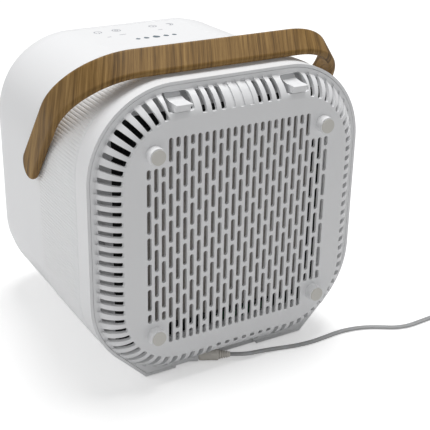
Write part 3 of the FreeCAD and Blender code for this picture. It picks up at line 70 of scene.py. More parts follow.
@dataclass
class Tree:
    """A node tree with short calls to add and join nodes."""

    tree: bpy.types.NodeTree

    def add(self, kind: str, **values: object) -> bpy.types.Node:
        """Add a node.

        Args:
            kind: the node's type name.
            values: properties, or input sockets by name with spaces as underscores.

        Returns:
            The new node.
        """
        node = self.tree.nodes.new(kind)
        for key, value in values.items():
            socket = node.inputs.get(key.replace("_", " "))
            if hasattr(node, key):
                setattr(node, key, value)
            elif isinstance(value, bpy.types.NodeSocket):
                self.tree.links.new(value, socket)
            else:
                socket.default_value = value
        return node

    def join(self, source: bpy.types.NodeSocket, target: bpy.types.NodeSocket) -> None:
        """Join two sockets."""
        self.tree.links.new(source, target)

    def maths(self, operation: str, a: object, b: object = 0.0, clamp: bool = False) -> bpy.types.NodeSocket:
        """Add a Math node.

        Args:
            operation: the operation's name.
            a: first value or socket.
            b: second value or socket.
            clamp: keep the result between 0 and 1.

        Returns:
            The result's socket.
        """
        node = self.tree.nodes.new("ShaderNodeMath")
        node.operation = operation
        node.use_clamp = clamp
        for socket, value in zip(node.inputs, (a, b)):
            if isinstance(value, bpy.types.NodeSocket):
                self.join(value, socket)
            else:
                socket.default_value = value
        return node.outputs[0]

    def mix(self, share: object, a: object, b: object, blend: str = "MIX") -> bpy.types.NodeSocket:
        """Mix two colours.

        Args:
            share: how much of the second colour, a value or socket.
            a: first colour or socket.
            b: second colour or socket.
            blend: the blend mode.

        Returns:
            The colour's socket.
        """
        node = self.tree.nodes.new("ShaderNodeMix")
        node.data_type = "RGBA"
        node.blend_type = blend
        for socket, value in ((node.inputs[0], share), (node.inputs[6], a), (node.inputs[7], b)):
            if isinstance(value, bpy.types.NodeSocket):
                self.join(value, socket)
            else:
                opaque = isinstance(value, tuple) and len(value) == 3
                socket.default_value = (*value, 1.0) if opaque else value
        return node.outputs[2]


def new_group(name: str, inputs: Sequence[Tuple[str, str, object]], outputs: Sequence[Tuple[str, str]],
              ) -> Tuple[Tree, bpy.types.Node, bpy.types.Node]:
    """Start a shader node group.

    Args:
        name: the group's name.
        inputs: (name, kind, default) of each input, kind being Float, Color or Vector.
        outputs: (name, kind) of each output.

    Returns:
        The group's tree, its input node and its output node.
    """
    group = bpy.data.node_groups.new(name, "ShaderNodeTree")
    for label, kind, default in inputs:
        socket = group.interface.new_socket(label, in_out="INPUT", socket_type="NodeSocket" + kind)
        if default is not None:
            socket.default_value = default
    for label, kind in outputs:
        group.interface.new_socket(label, in_out="OUTPUT", socket_type="NodeSocket" + kind)
    tree = Tree(group)
    return tree, tree.add("NodeGroupInput"), tree.add("NodeGroupOutput")


class Effects:
    """Shader node groups that several finishes share."""

    def __init__(self) -> None:
        """Build each group once."""
        self.moulded = self.moulded_surface()
        self.streaks = self.fibre_streaks()
        self.dust = self.settled_dust()

    def moulded_surface(self) -> bpy.types.NodeTree:
        """Fine mould texture with slow changes of tone and gloss.

        Returns:
            The group, which puts out Tone, Gloss and Height.
        """
        tree, given, out = new_group("moulded_surface", [
            ("Vector", "Vector", None), ("Grain Scale", "Float", 900.0), ("Tone Scale", "Float", 9.0),
            ("Tone Range", "Float", 0.03), ("Gloss", "Float", 0.45), ("Gloss Range", "Float", 0.08)],
            [("Tone", "Float"), ("Gloss", "Float"), ("Height", "Float")])
        place = given.outputs["Vector"]
        grain = given.outputs["Grain Scale"]
        slow = tree.add("ShaderNodeTexNoise", Vector=place, Scale=given.outputs["Tone Scale"], Detail=3.0)
        fine = tree.add("ShaderNodeTexNoise", Vector=place, Scale=grain, Detail=2.0, Roughness=0.6)
        cells = tree.add("ShaderNodeTexVoronoi", Vector=place, Scale=grain)
        centred = tree.maths("SUBTRACT", slow.outputs["Fac"], 0.5)
        tone = tree.maths("ADD", tree.maths("MULTIPLY", centred, given.outputs["Tone Range"]), 1.0)
        rough = tree.maths("SUBTRACT", fine.outputs["Fac"], 0.5)
        gloss = tree.maths("ADD", tree.maths("MULTIPLY", rough, given.outputs["Gloss Range"]),
                           given.outputs["Gloss"], clamp=True)
        height = tree.maths("ADD", fine.outputs["Fac"], cells.outputs["Distance"])
        tree.join(tone, out.inputs["Tone"])
        tree.join(gloss, out.inputs["Gloss"])
        tree.join(tree.maths("MULTIPLY", height, 0.5), out.inputs["Height"])
        return tree.tree

    def fibre_streaks(self) -> bpy.types.NodeTree:
        """Streaks with their own scale along each axis, for wood, brushed metal and felt.

        Returns:
            The group, which puts out Broad, Fine and Pores.
        """
        tree, given, out = new_group("fibre_streaks", [
            ("Vector", "Vector", None), ("Across", "Float", 120.0), ("Through", "Float", 120.0),
            ("Along", "Float", 5.0), ("Waver", "Float", 0.004)],
            [("Broad", "Float"), ("Fine", "Float"), ("Pores", "Float")])
        drift = tree.add("ShaderNodeTexNoise", Vector=given.outputs["Vector"], Scale=14.0, Detail=2.0)
        shift = tree.add("ShaderNodeVectorMath", operation="SCALE")
        tree.join(drift.outputs["Color"], shift.inputs[0])
        tree.join(given.outputs["Waver"], shift.inputs["Scale"])
        moved = tree.add("ShaderNodeVectorMath", operation="ADD")
        tree.join(given.outputs["Vector"], moved.inputs[0])
        tree.join(shift.outputs[0], moved.inputs[1])
        sizes = tree.add("ShaderNodeCombineXYZ", X=given.outputs["Across"], Y=given.outputs["Through"],
                         Z=given.outputs["Along"])
        stretched = tree.add("ShaderNodeVectorMath", operation="MULTIPLY")
        tree.join(moved.outputs[0], stretched.inputs[0])
        tree.join(sizes.outputs[0], stretched.inputs[1])
        for label, scale, detail in (("Broad", 1.0, 4.0), ("Fine", 3.4, 5.0), ("Pores", 8.5, 2.0)):
            noise = tree.add("ShaderNodeTexNoise", Vector=stretched.outputs[0], Scale=scale, Detail=detail,
                             Roughness=0.62)
            tree.join(noise.outputs["Fac"], out.inputs[label])
        return tree.tree

    def settled_dust(self) -> bpy.types.NodeTree:
        """A little dust and handling soil that gathers on upward faces.

        Returns:
            The group, which puts out Mask.
        """
        tree, given, out = new_group("settled_dust", [("Vector", "Vector", None), ("Amount", "Float", 0.05)],
                                     [("Mask", "Float")])
        up = tree.add("ShaderNodeSeparateXYZ")
        tree.join(tree.add("ShaderNodeNewGeometry").outputs["Normal"], up.inputs[0])
        speck = tree.add("ShaderNodeTexNoise", Vector=given.outputs["Vector"], Scale=260.0, Detail=4.0)
        upward = tree.maths("ADD", up.outputs["Z"], 0.3, clamp=True)
        level = tree.maths("MULTIPLY", upward, speck.outputs["Fac"])
        tree.join(tree.maths("MULTIPLY", level, given.outputs["Amount"], clamp=True), out.inputs["Mask"])
        return tree.tree


def start_material(name: str) -> Tuple[bpy.types.Material, Tree, bpy.types.Node, bpy.types.NodeSocket]:
    """Start a material with a Principled shader.

    Args:
        name: the material's name.

    Returns:
        The material, its tree, the shader and the object coordinates' socket.
    """
    material = bpy.data.materials.new(name)
    material.use_nodes = True
    material.node_tree.nodes.clear()
    tree = Tree(material.node_tree)
    shader = tree.add("ShaderNodeBsdfPrincipled")
    tree.join(shader.outputs[0], tree.add("ShaderNodeOutputMaterial").inputs["Surface"])
    return material, tree, shader, tree.add("ShaderNodeTexCoord").outputs["Object"]


@dataclass(frozen=True)
class Moulded:
    """A moulded plastic or rubber finish."""

    name: str
    colour: Colour
    gloss: float = 0.45
    grain: float = 900.0
    relief: float = 0.00006
    tone_range: float = 0.04
    dust: float = 0.03
    dust_colour: Colour = (0.55, 0.53, 0.50)
    coat: float = 0.0
    glow_through: float = 0.0
    metallic: float = 0.0

    def build(self, effects: Effects) -> bpy.types.Material:
        """Build the material.

        Args:
            effects: the shared node groups.

        Returns:
            The material.
        """
        material, tree, shader, place = start_material(self.name)
        surface = tree.add("ShaderNodeGroup", node_tree=effects.moulded)
        for label, value in (("Grain Scale", self.grain), ("Tone Range", self.tone_range),
                             ("Gloss", self.gloss)):
            surface.inputs[label].default_value = value
        tree.join(place, surface.inputs["Vector"])
        dust = tree.add("ShaderNodeGroup", node_tree=effects.dust)
        dust.inputs["Amount"].default_value = self.dust
        tree.join(place, dust.inputs["Vector"])
        toned = tree.mix(1.0, self.colour, surface.outputs["Tone"], "MULTIPLY")
        tree.join(tree.mix(dust.outputs["Mask"], toned, self.dust_colour), shader.inputs["Base Color"])
        tree.join(surface.outputs["Gloss"], shader.inputs["Roughness"])
        bump = tree.add("ShaderNodeBump", Strength=0.5, Distance=self.relief,
                        Height=surface.outputs["Height"])
        tree.join(bump.outputs["Normal"], shader.inputs["Normal"])
        shader.inputs["Metallic"].default_value = self.metallic
        shader.inputs["Coat Weight"].default_value = self.coat
        if self.glow_through:
            shader.inputs["Subsurface Weight"].default_value = self.glow_through
            shader.inputs["Subsurface Scale"].default_value = 0.002
            shader.inputs["Subsurface Radius"].default_value = (1.0, 0.9, 0.8)
        return material


@dataclass(frozen=True)
class Wood:
    """Wood-grain finish, laid over the handle in sheets that cross its bar and run down its arms."""

    name: str
    across: Point = (1.0, -0.392, 0.138)
    along: Point = (-0.13, 0.33, 0.94)
    deep: Colour = (0.080, 0.042, 0.012)
    middle: Colour = (0.215, 0.120, 0.034)
    pale: Colour = (0.375, 0.230, 0.080)
    stops: Tuple[float, float, float] = (0.35, 0.48, 0.65)
    fibres_across: float = 400.0
    fibres_along: float = 9.0
    broad_share: float = 0.6
    pore_level: float = 0.56

    def build(self, effects: Effects) -> bpy.types.Material:
        """Build the material.

        Args:
            effects: the shared node groups.

        Returns:
            The material.
        """
        material, tree, shader, place = start_material(self.name)
        across = Vector(self.across)
        through = across.cross(Vector(self.along)).normalized()
        laid = tree.add("ShaderNodeCombineXYZ")
        for socket, way in zip(laid.inputs, (across, through, through.cross(across).normalized())):
            dot = tree.add("ShaderNodeVectorMath", operation="DOT_PRODUCT")
            tree.join(place, dot.inputs[0])
            dot.inputs[1].default_value = way
            tree.join(dot.outputs["Value"], socket)
        streaks = tree.add("ShaderNodeGroup", node_tree=effects.streaks)
        for label, value in (("Across", self.fibres_across), ("Through", self.fibres_along),
                             ("Along", self.fibres_along), ("Waver", 0.005)):
            streaks.inputs[label].default_value = value
        tree.join(laid.outputs[0], streaks.inputs["Vector"])
        blend = tree.maths("ADD", tree.maths("MULTIPLY", streaks.outputs["Broad"], self.broad_share),
                           tree.maths("MULTIPLY", streaks.outputs["Fine"], 1.0 - self.broad_share))
        ramp = tree.add("ShaderNodeValToRGB", Fac=blend)
        low, centre, high = self.stops
        stops = ramp.color_ramp.elements
        stops[0].position, stops[0].color = low, (*self.deep, 1.0)
        stops[1].position, stops[1].color = high, (*self.pale, 1.0)
        stops.new(centre).color = (*self.middle, 1.0)
        above = tree.maths("SUBTRACT", streaks.outputs["Pores"], self.pore_level)
        pores = tree.maths("MULTIPLY", above, 6.0, clamp=True)
        tree.join(tree.mix(tree.maths("MULTIPLY", pores, 0.45), ramp.outputs["Color"], self.deep),
                  shader.inputs["Base Color"])
        tree.join(tree.maths("ADD", tree.maths("MULTIPLY", streaks.outputs["Fine"], 0.25), 0.45),
                  shader.inputs["Roughness"])
        shader.inputs["Specular IOR Level"].default_value = 0.22
        bump = tree.add("ShaderNodeBump", Strength=0.6, Distance=0.00012, Height=streaks.outputs["Fine"])
        tree.join(bump.outputs["Normal"], shader.inputs["Normal"])
        return material


@dataclass(frozen=True)
class Metal:
    """Drawn or turned metal with fine lines."""

    name: str
    colour: Colour = (0.62, 0.62, 0.64)
    gloss: float = 0.25

    def build(self, effects: Effects) -> bpy.types.Material:
        """Build the material.

        Args:
            effects: the shared node groups.

        Returns:
            The material.
        """
        material, tree, shader, place = start_material(self.name)
        streaks = tree.add("ShaderNodeGroup", node_tree=effects.streaks)
        for label, value in (("Across", 900.0), ("Through", 900.0), ("Along", 60.0), ("Waver", 0.0)):
            streaks.inputs[label].default_value = value
        tree.join(place, streaks.inputs["Vector"])
        shade = tree.maths("ADD", tree.maths("MULTIPLY", streaks.outputs["Fine"], 0.3), 0.82)
        tree.join(tree.mix(1.0, self.colour, shade, "MULTIPLY"), shader.inputs["Base Color"])
        tree.join(tree.maths("ADD", tree.maths("MULTIPLY", streaks.outputs["Broad"], 0.2), self.gloss),
                  shader.inputs["Roughness"])
        bump = tree.add("ShaderNodeBump", Strength=0.3, Distance=0.00004, Height=streaks.outputs["Fine"])
        tree.join(bump.outputs["Normal"], shader.inputs["Normal"])
        shader.inputs["Metallic"].default_value = 1.0
        return material


@dataclass(frozen=True)
class Fibre:
    """Felt, foam and wick paper."""

    name: str
    colour: Colour
    shade: Colour
    across: float = 700.0
    along: float = 160.0

    def build(self, effects: Effects) -> bpy.types.Material:
        """Build the material.

        Args:
            effects: the shared node groups.

        Returns:
            The material.
        """
        material, tree, shader, place = start_material(self.name)
        streaks = tree.add("ShaderNodeGroup", node_tree=effects.streaks)
        for label, value in (("Across", self.across), ("Through", self.across), ("Along", self.along),
                             ("Waver", 0.01)):
            streaks.inputs[label].default_value = value
        tree.join(place, streaks.inputs["Vector"])
        share = tree.maths("MULTIPLY", tree.maths("SUBTRACT", streaks.outputs["Fine"], 0.35), 3.0, clamp=True)
        tree.join(tree.mix(share, self.shade, self.colour), shader.inputs["Base Color"])
        bump = tree.add("ShaderNodeBump", Strength=0.9, Distance=0.0004, Height=streaks.outputs["Broad"])
        tree.join(bump.outputs["Normal"], shader.inputs["Normal"])
        shader.inputs["Roughness"].default_value = 0.95
        shader.inputs["Sheen Weight"].default_value = 0.25
        return material


# One finish per material slot of the record, and the few that only the looks need.
FINISHES: Dict[str, object] = {
    "shell_white": Moulded("white_shell", (0.86, 0.865, 0.875), gloss=0.40, relief=0.00003, tone_range=0.02,
                           dust=0.015),
    "rubber_pad": Moulded("soft_pad_rubber", (0.70, 0.685, 0.64), gloss=0.62, grain=1500.0),
    "wood": Wood("handle_wood"),
    "steel": Metal("plain_steel"),
    "nylon": Moulded("natural_nylon", (0.78, 0.77, 0.73), gloss=0.5),
    "felt": Fibre("filter_felt", (0.56, 0.53, 0.505), (0.36, 0.335, 0.315)),
    "dark_plastic": Moulded("black_moulding", (0.018, 0.018, 0.020), gloss=0.5, dust=0.05),
    "foam": Fibre("seal_foam", (0.03, 0.03, 0.032), (0.012, 0.012, 0.014), 900.0, 900.0),
    "wick": Fibre("wick_paper", (0.78, 0.81, 0.84), (0.60, 0.64, 0.69), 400.0, 60.0),
    "tank": Moulded("tank_moulding", (0.70, 0.75, 0.80), gloss=0.3, glow_through=0.2),
    "float_foam": Moulded("float_foam", (0.75, 0.36, 0.10), gloss=0.8, grain=1800.0, relief=0.0001),
    "copper": Metal("enamelled_copper", (0.72, 0.36, 0.16), 0.3),
    "magnet": Moulded("ferrite_ring", (0.035, 0.035, 0.04), gloss=0.35),
    "board": Moulded("circuit_board", (0.02, 0.13, 0.055), gloss=0.3, grain=500.0, coat=0.4),
    "lens": Moulded("light_guides", (0.85, 0.86, 0.88), gloss=0.12, coat=0.5),
    "cord": Moulded("lead_sheath", (0.430, 0.435, 0.440), gloss=0.48, grain=1600.0, tone_range=0.06),
    "plug_white": Moulded("plug_moulding", (0.72, 0.69, 0.635), gloss=0.42, grain=1200.0),
    "icon_grey": Moulded("icon_print", (0.40, 0.41, 0.44), gloss=0.5, dust=0.0),
    "mark_grey": Moulded("mark_print", (0.13, 0.17, 0.20), gloss=0.5, dust=0.0),
}


class Paintshop:
    """Builds each finish once and puts it on pieces."""

    def __init__(self) -> None:
        """Build the shared groups."""
        self.effects = Effects()
        self.made: Dict[str, bpy.types.Material] = {}

    def finish(self, slot: str) -> bpy.types.Material:
        """Material of a slot, built when first asked for.

        Args:
            slot: name in FINISHES.

        Returns:
            The material.
        """
        if slot not in self.made:
            self.made[slot] = FINISHES[slot].build(self.effects)
        return self.made[slot]

    def dress(self, piece: bpy.types.Object, slot: str) -> None:
        """Put a slot's finish on a piece."""
        piece.data.materials.clear()
        piece.data.materials.append(self.finish(slot))

    def dress_frame(self) -> None:
        """Put the record's finishes on the CAD nodes."""
        for entry in frame["record"]["subparts"]:
            node = frame["nodes"][entry["node"]]
            for holder in node.material_slots:
                holder.material = self.finish(entry["material_slot"])
            log.info("CAD node %s in %s", entry["node"], entry["material_slot"])


# ---------------------------------------------------------------- mesh tools


def mesh_piece(name: str, points: Sequence[Sequence[float]], faces: Sequence[Sequence[int]], body: Body,
               shop: Paintshop, slot: str, smooth: bool = True) -> bpy.types.Object:
    """Make a mesh piece that rides on a body.

    Args:
        name: the piece's name.
        points: vertices in metres.
        faces: vertex indices of each face.
        body: the body it rides on.
        shop: gives the finish.
        slot: the finish's slot.
        smooth: shade smoothly.

    Returns:
        The object.
    """
    mesh = bpy.data.meshes.new(name)
    mesh.from_pydata([tuple(p) for p in points], [], [tuple(f) for f in faces])
    mesh.validate()
    shaped = bmesh.new()
    shaped.from_mesh(mesh)
    bmesh.ops.recalc_face_normals(shaped, faces=shaped.faces)
    shaped.to_mesh(mesh)
    shaped.free()
    if smooth:
        mesh.shade_smooth()
        mesh.set_sharp_from_angle(angle=math.radians(40))
    piece = bpy.data.objects.new(name, mesh)
    bpy.context.scene.collection.objects.link(piece)
    shop.dress(piece, slot)
    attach(piece, body.value)
    log.info("piece %s: %d faces on %s", name, len(mesh.polygons), body.value)
    return piece


def grid_shell(outer: List[List[Point]], inner: List[List[Point]], loop: bool,
               ) -> Tuple[List[Point], List[Tuple[int, ...]]]:
    """Closed skin between two matching grids of points.

    Args:
        outer: rows of points on one side.
        inner: rows of points on the other side.
        loop: the rows close on themselves.

    Returns:
        Points and faces.
    """
    rows, columns = len(outer), len(outer[0])
    points = [p for row in outer for p in row] + [p for row in inner for p in row]
    offset = rows * columns
    faces: List[Tuple[int, ...]] = []
    last = columns if loop else columns - 1
    for r in range(rows - 1):
        for c in range(last):
            d = (c + 1) % columns
            a, b, e, f = r * columns + c, r * columns + d, (r + 1) * columns + d, (r + 1) * columns + c
            faces.append((a, b, e, f))
            faces.append((a + offset, f + offset, e + offset, b + offset))
    for r in (0, rows - 1):
        for c in range(last):
            a, b = r * columns + c, r * columns + (c + 1) % columns
            faces.append((a, b, b + offset, a + offset))
    if not loop:
        for c in (0, columns - 1):
            for r in range(rows - 1):
                a, b = r * columns + c, (r + 1) * columns + c
                faces.append((a, b, b + offset, a + offset))
    return points, faces


def turned(profile: Sequence[Tuple[float, float]], start: Vector, along: Vector, around: int = 40,
           ) -> Tuple[List[Vector], List[Tuple[int, ...]]]:
    """Solid of revolution.

    Args:
        profile: (distance along, radius) in metres, from one end to the other.
        start: where the axis starts.
        along: the axis's direction.
        around: points round a ring.

    Returns:
        Points and faces.
    """
    turn = along.to_track_quat("Z", "X").to_matrix()
    points = [start + turn @ Vector((r * math.cos(t), r * math.sin(t), z))
              for z, r in profile for t in (2 * math.pi * k / around for k in range(around))]
    faces: List[Tuple[int, ...]] = []
    for row in range(len(profile) - 1):
        for k in range(around):
            a, b = row * around + k, row * around + (k + 1) % around
            faces.append((a, b, b + around, a + around))
    faces.append(tuple(range(around)))
    faces.append(tuple(len(points) - around + k for k in range(around)))
    return points, faces


# ---------------------------------------------------------------- camera and light


@dataclass
class Studio:
    """Camera, pale floor and soft lights."""

    eye: Point = (0.3790, 0.7046, 0.4452)
    right: Point = (-0.8594, 0.5110, 0.0191)
    down: Point = (0.1935, 0.3597, -0.9128)
    forward: Point = (-0.4733, -0.7807, -0.4080)
    lens: float = 83.55
    sensor: float = 36.0
    floor_half: float = 6.0
    subject: Point = (0.0, 0.0, 0.12)
    ambient: float = 0.34
    floor_glow: float = 0.42

    def camera(self) -> bpy.types.Object:
        """Add the camera.

        Returns:
            The camera object.
        """
        data = bpy.data.cameras.new("studio_camera")
        data.lens = self.lens
        data.sensor_width = self.sensor
        data.clip_end = 50.0
        camera = bpy.data.objects.new("studio_camera", data)
        bpy.context.scene.collection.objects.link(camera)
        turn = Matrix((self.right, [-v for v in self.down], [-v for v in self.forward])).transposed()
        turn = turn.to_quaternion().normalized().to_matrix().to_4x4()
        camera.matrix_world = Matrix.Translation(self.eye) @ turn
        bpy.context.scene.camera = camera
        return camera

    def floor(self) -> None:
        """Add the pale floor."""
        mesh = bpy.data.meshes.new("floor")
        h = self.floor_half
        mesh.from_pydata([(-h, -h, 0), (h, -h, 0), (h, h, 0), (-h, h, 0)], [], [(0, 1, 2, 3)])
        floor = bpy.data.objects.new("floor", mesh)
        bpy.context.scene.collection.objects.link(floor)
        material, tree, shader, _ = start_material("pale_floor")
        shader.inputs["Base Color"].default_value = (0.80, 0.80, 0.80, 1.0)
        shader.inputs["Roughness"].default_value = 0.9
        shader.inputs["Emission Color"].default_value = (1.0, 1.0, 1.0, 1.0)
        seen = tree.add("ShaderNodeLightPath").outputs["Is Camera Ray"]
        tree.join(tree.maths("MULTIPLY", seen, self.floor_glow), shader.inputs["Emission Strength"])
        mesh.materials.append(material)

    def softbox(self, name: str, place: Point, aim: Point, size: float, power: float) -> None:
        """Add an area light.

        Args:
            name: the light's name.
            place: where it stands.
            aim: where it points.
            size: its width.
            power: watts.
        """
        data = bpy.data.lights.new(name, "AREA")
        data.shape = "DISK"
        data.size = size
        data.energy = power
        light = bpy.data.objects.new(name, data)
        bpy.context.scene.collection.objects.link(light)
        light.location = place
        light.rotation_euler = (Vector(aim) - Vector(place)).to_track_quat("-Z", "Y").to_euler()

    def build(self) -> None:
        """Add camera, floor, lights and surroundings."""
        self.camera()
        self.floor()
        self.softbox("overhead", place=(-0.40, -0.22, 2.2), aim=self.subject, size=1.3, power=36.0)
        self.softbox("side", place=(1.9, -0.60, 0.9), aim=self.subject, size=1.2, power=9.0)
        world = bpy.data.worlds.new("surroundings")
        world.use_nodes = True
        backdrop = world.node_tree.nodes["Background"]
        backdrop.inputs["Color"].default_value = (1.0, 1.0, 1.0, 1.0)
        backdrop.inputs["Strength"].default_value = self.ambient
        bpy.context.scene.world = world
        bpy.context.scene.view_settings.view_transform = "Standard"
        bpy.context.scene.view_settings.look = "None"


# ---------------------------------------------------------------- lead


# The lead's route in millimetres: relief, ground, along the rear and away to the side.
LEAD_ROUTE: List[Point] = [
    (1.3, 110.2, 5.4), (-4.9, 113.5, 5.3), (-14.0, 115.6, 4.4), (-24.0, 114.8, 2.9), (-35.0, 115.2, 1.7),
    (-46.0, 117.4, 1.4), (-58.0, 120.2, 1.35), (-72.7, 121.8, 1.35), (-88.0, 120.9, 1.35),
    (-103.0, 119.6, 1.35), (-117.0, 121.0, 1.35), (-129.8, 124.7, 1.35), (-140.6, 130.6, 1.35),
    (-150.6, 137.2, 1.35), (-162.7, 140.8, 1.35), (-176.0, 140.4, 1.35), (-188.0, 139.6, 1.35),
    (-200.0, 139.2, 1.35), (-212.0, 139.0, 1.35),
]


@dataclass
class Lead:
    """Thin flat two-core lead, from its plug to the coil and the wall adapter."""

    shop: Paintshop
    core_radius: float = 1.2
    core_offset: float = 1.0
    coil_centre: Tuple[float, float] = (-230.0, 168.0)
    outer_turn: float = 29.0
    inner_turn: float = 19.6
    layers: int = 4
    layer_rise: float = 3.0
    turns: float = 8.25
    points_per_turn: int = 16
    tail: float = 18.0
    tail_height: float = 12.5
    layer_change: float = 0.14
    section_points: int = 12
    plug_face: Point = (24.8, 98.0, 5.4)
    plug_turn: float = 62.5
    plug_length: float = 17.0
    relief_length: float = 9.5
    relief_ribs: int = 4
    relief_pitch: float = 1.9
    tie_offset: float = 24.3
    tie_height: float = 6.4
    tie_half_wide: float = 8.2
    tie_half_high: float = 7.0
    tie_width: float = 5.0
    tie_thick: float = 0.7

    def coil_points(self) -> List[Point]:
        """Points of the coil's turns, in layers that wind in and out.

        Returns:
            Points in millimetres.
        """
        points: List[Point] = []
        steps = int(self.turns * self.points_per_turn)
        low = LEAD_ROUTE[-1][2]
        swell = 1.0 / (0.75 + 0.25 * math.cos(2 * math.pi / self.points_per_turn))
        for step in range(steps + 1):
            share = step / steps
            layer = share * self.layers
            inward = layer % 2.0
            sweep = inward if inward <= 1.0 else 2.0 - inward
            radius = self.outer_turn + (self.inner_turn - self.outer_turn) * sweep
            floor_layer = min(int(layer), self.layers - 1)
            climb = min(1.0, max(0.0, (layer - floor_layer - 1.0) / self.layer_change + 1.0))
            height = low + self.layer_rise * min(floor_layer + climb, self.layers - 1)
            angle = -math.pi / 2 - 2 * math.pi * self.turns * share
            points.append((self.coil_centre[0] + radius * swell * math.cos(angle),
                           self.coil_centre[1] + radius * swell * math.sin(angle), height))
        return points

    def section(self) -> bpy.types.Object:
        """The lead's two-core section, as a hidden curve.

        Returns:
            The curve object.
        """
        curve = bpy.data.curves.new("lead_section", "CURVE")
        curve.dimensions = "2D"
        spline = curve.splines.new("POLY")
        ring: List[Point] = []
        half = math.acos(min(1.0, self.core_offset / self.core_radius)) * 0.8
        for side, first in ((1.0, -math.pi + half), (-1.0, half)):
            for k in range(self.section_points + 1):
                angle = first + (2 * math.pi - 2 * half) * k / self.section_points
                ring.append((side * self.core_offset + self.core_radius * math.cos(angle),
                             self.core_radius * math.sin(angle), 0.0))
        spline.points.add(len(ring) - 1)
        for point, (x, y, z) in zip(spline.points, ring):
            point.co = (x * MM, y * MM, z, 1.0)
        spline.use_cyclic_u = True
        section = bpy.data.objects.new("lead_section", curve)
        bpy.context.scene.collection.objects.link(section)
        section.hide_render = True
        section.hide_viewport = True
        return section

    def flex(self) -> bpy.types.Object:
        """The lead itself, one smooth spline.

        Returns:
            The curve object.
        """
        end_x = self.coil_centre[0] - self.outer_turn
        end_y = self.coil_centre[1]
        tail = [(end_x, end_y + self.tail * 0.5, self.tail_height - 0.6),
                (end_x, end_y + self.tail, self.tail_height)]
        route = LEAD_ROUTE + self.coil_points() + tail
        curve = bpy.data.curves.new("supply_lead", "CURVE")
        curve.dimensions = "3D"
        curve.resolution_u = 5
        curve.twist_mode = "Z_UP"
        spline = curve.splines.new("NURBS")
        spline.points.add(len(route) - 1)
        for point, (x, y, z) in zip(spline.points, route):
            point.co = (x * MM, y * MM, z * MM, 1.0)
        spline.order_u = 3
        spline.use_endpoint_u = True
        curve.bevel_mode = "OBJECT"
        curve.bevel_object = self.section()
        curve.use_fill_caps = True
        flex = bpy.data.objects.new("supply_lead", curve)
        bpy.context.scene.collection.objects.link(flex)
        self.shop.dress(flex, "cord")
        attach(flex, Body.HOUSING.value)
        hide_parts("power_cord", "cord_coil")
        return flex

    def plug_axis(self) -> Vector:
        """Direction in which the lead leaves the plug."""
        turn = math.radians(self.plug_turn)
        return Vector((-math.sin(turn), math.cos(turn), 0.0))

    def relief(self) -> bpy.types.Object:
        """Ribbed, tapering strain relief at the plug.

        Returns:
            The piece.
        """
        along = self.plug_axis()
        start = (Vector(self.plug_face) + along * self.plug_length) * MM
        profile = [(-0.3, 3.6)]
        for k in range(self.relief_ribs):
            z = 0.2 + self.relief_pitch * k
            r = 3.95 - 0.32 * k
            profile += [(z, r - 0.75), (z + 0.25, r - 0.1), (z + 0.45, r), (z + 1.05, r), (z + 1.25, r - 0.1),
                        (z + 1.5, r - 0.75)]
        profile += [(7.8, 2.35), (8.6, 2.25), (9.2, 2.2), (self.relief_length, 2.0)]
        points, faces = turned([(z * MM, r * MM) for z, r in profile], start, along)
        piece = mesh_piece("plug_ribbed_relief", points, faces, Body.HOUSING, self.shop, "plug_white")
        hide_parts("plug_strain_relief")
        return piece

    def grip(self) -> bpy.types.Object:
        """The plug's body: a round grip with a soft shoulder and a shallow waist.

        Returns:
            The piece.
        """
        profile = [(0.3, 3.7), (0.5, 4.2), (1.2, 4.7), (2.2, 4.9), (5.0, 4.9), (8.0, 4.8), (11.0, 4.8),
                   (14.0, 4.9), (15.4, 4.9), (16.4, 4.7), (16.9, 4.2), (self.plug_length, 3.8)]
        points, faces = turned([(z * MM, r * MM) for z, r in profile], Vector(self.plug_face) * MM,
                               self.plug_axis(), 48)
        piece = mesh_piece("plug_grip", points, faces, Body.HOUSING, self.shop, "plug_white")
        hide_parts("supply_plug")
        return piece

    def tie(self) -> bpy.types.Object:
        """Soft tie round the coil's bundle on its far side.

        Returns:
            The piece.
        """
        centre = Vector((self.coil_centre[0] + self.tie_offset, self.coil_centre[1], self.tie_height))
        outer: List[List[Point]] = []
        inner: List[List[Point]] = []
        for side in (-0.5, 0.5):
            rows: Tuple[List[Point], List[Point]] = ([], [])
            for k in range(48):
                t = 2 * math.pi * k / 48
                c, s = math.cos(t), math.sin(t)
                x = math.copysign(abs(c) ** 0.5, c)
                z = math.copysign(abs(s) ** 0.5, s)
                for row, grow in zip(rows, (0.0, -self.tie_thick)):
                    row.append(((centre.x + (self.tie_half_wide + grow) * x) * MM,
                                (centre.y + side * self.tie_width) * MM,
                                max(0.05, centre.z + (self.tie_half_high + grow) * z) * MM))
            outer.append(rows[0])
            inner.append(rows[1])
        points, faces = grid_shell(outer, inner, True)
        return mesh_piece("lead_tie", points, faces, Body.HOUSING, self.shop, "dark_plastic")

    def build(self) -> None:
        flex = self.flex()
        self.grip()
        self.relief()
        tie = self.tie()


# ---------------------------------------------------------------- housing


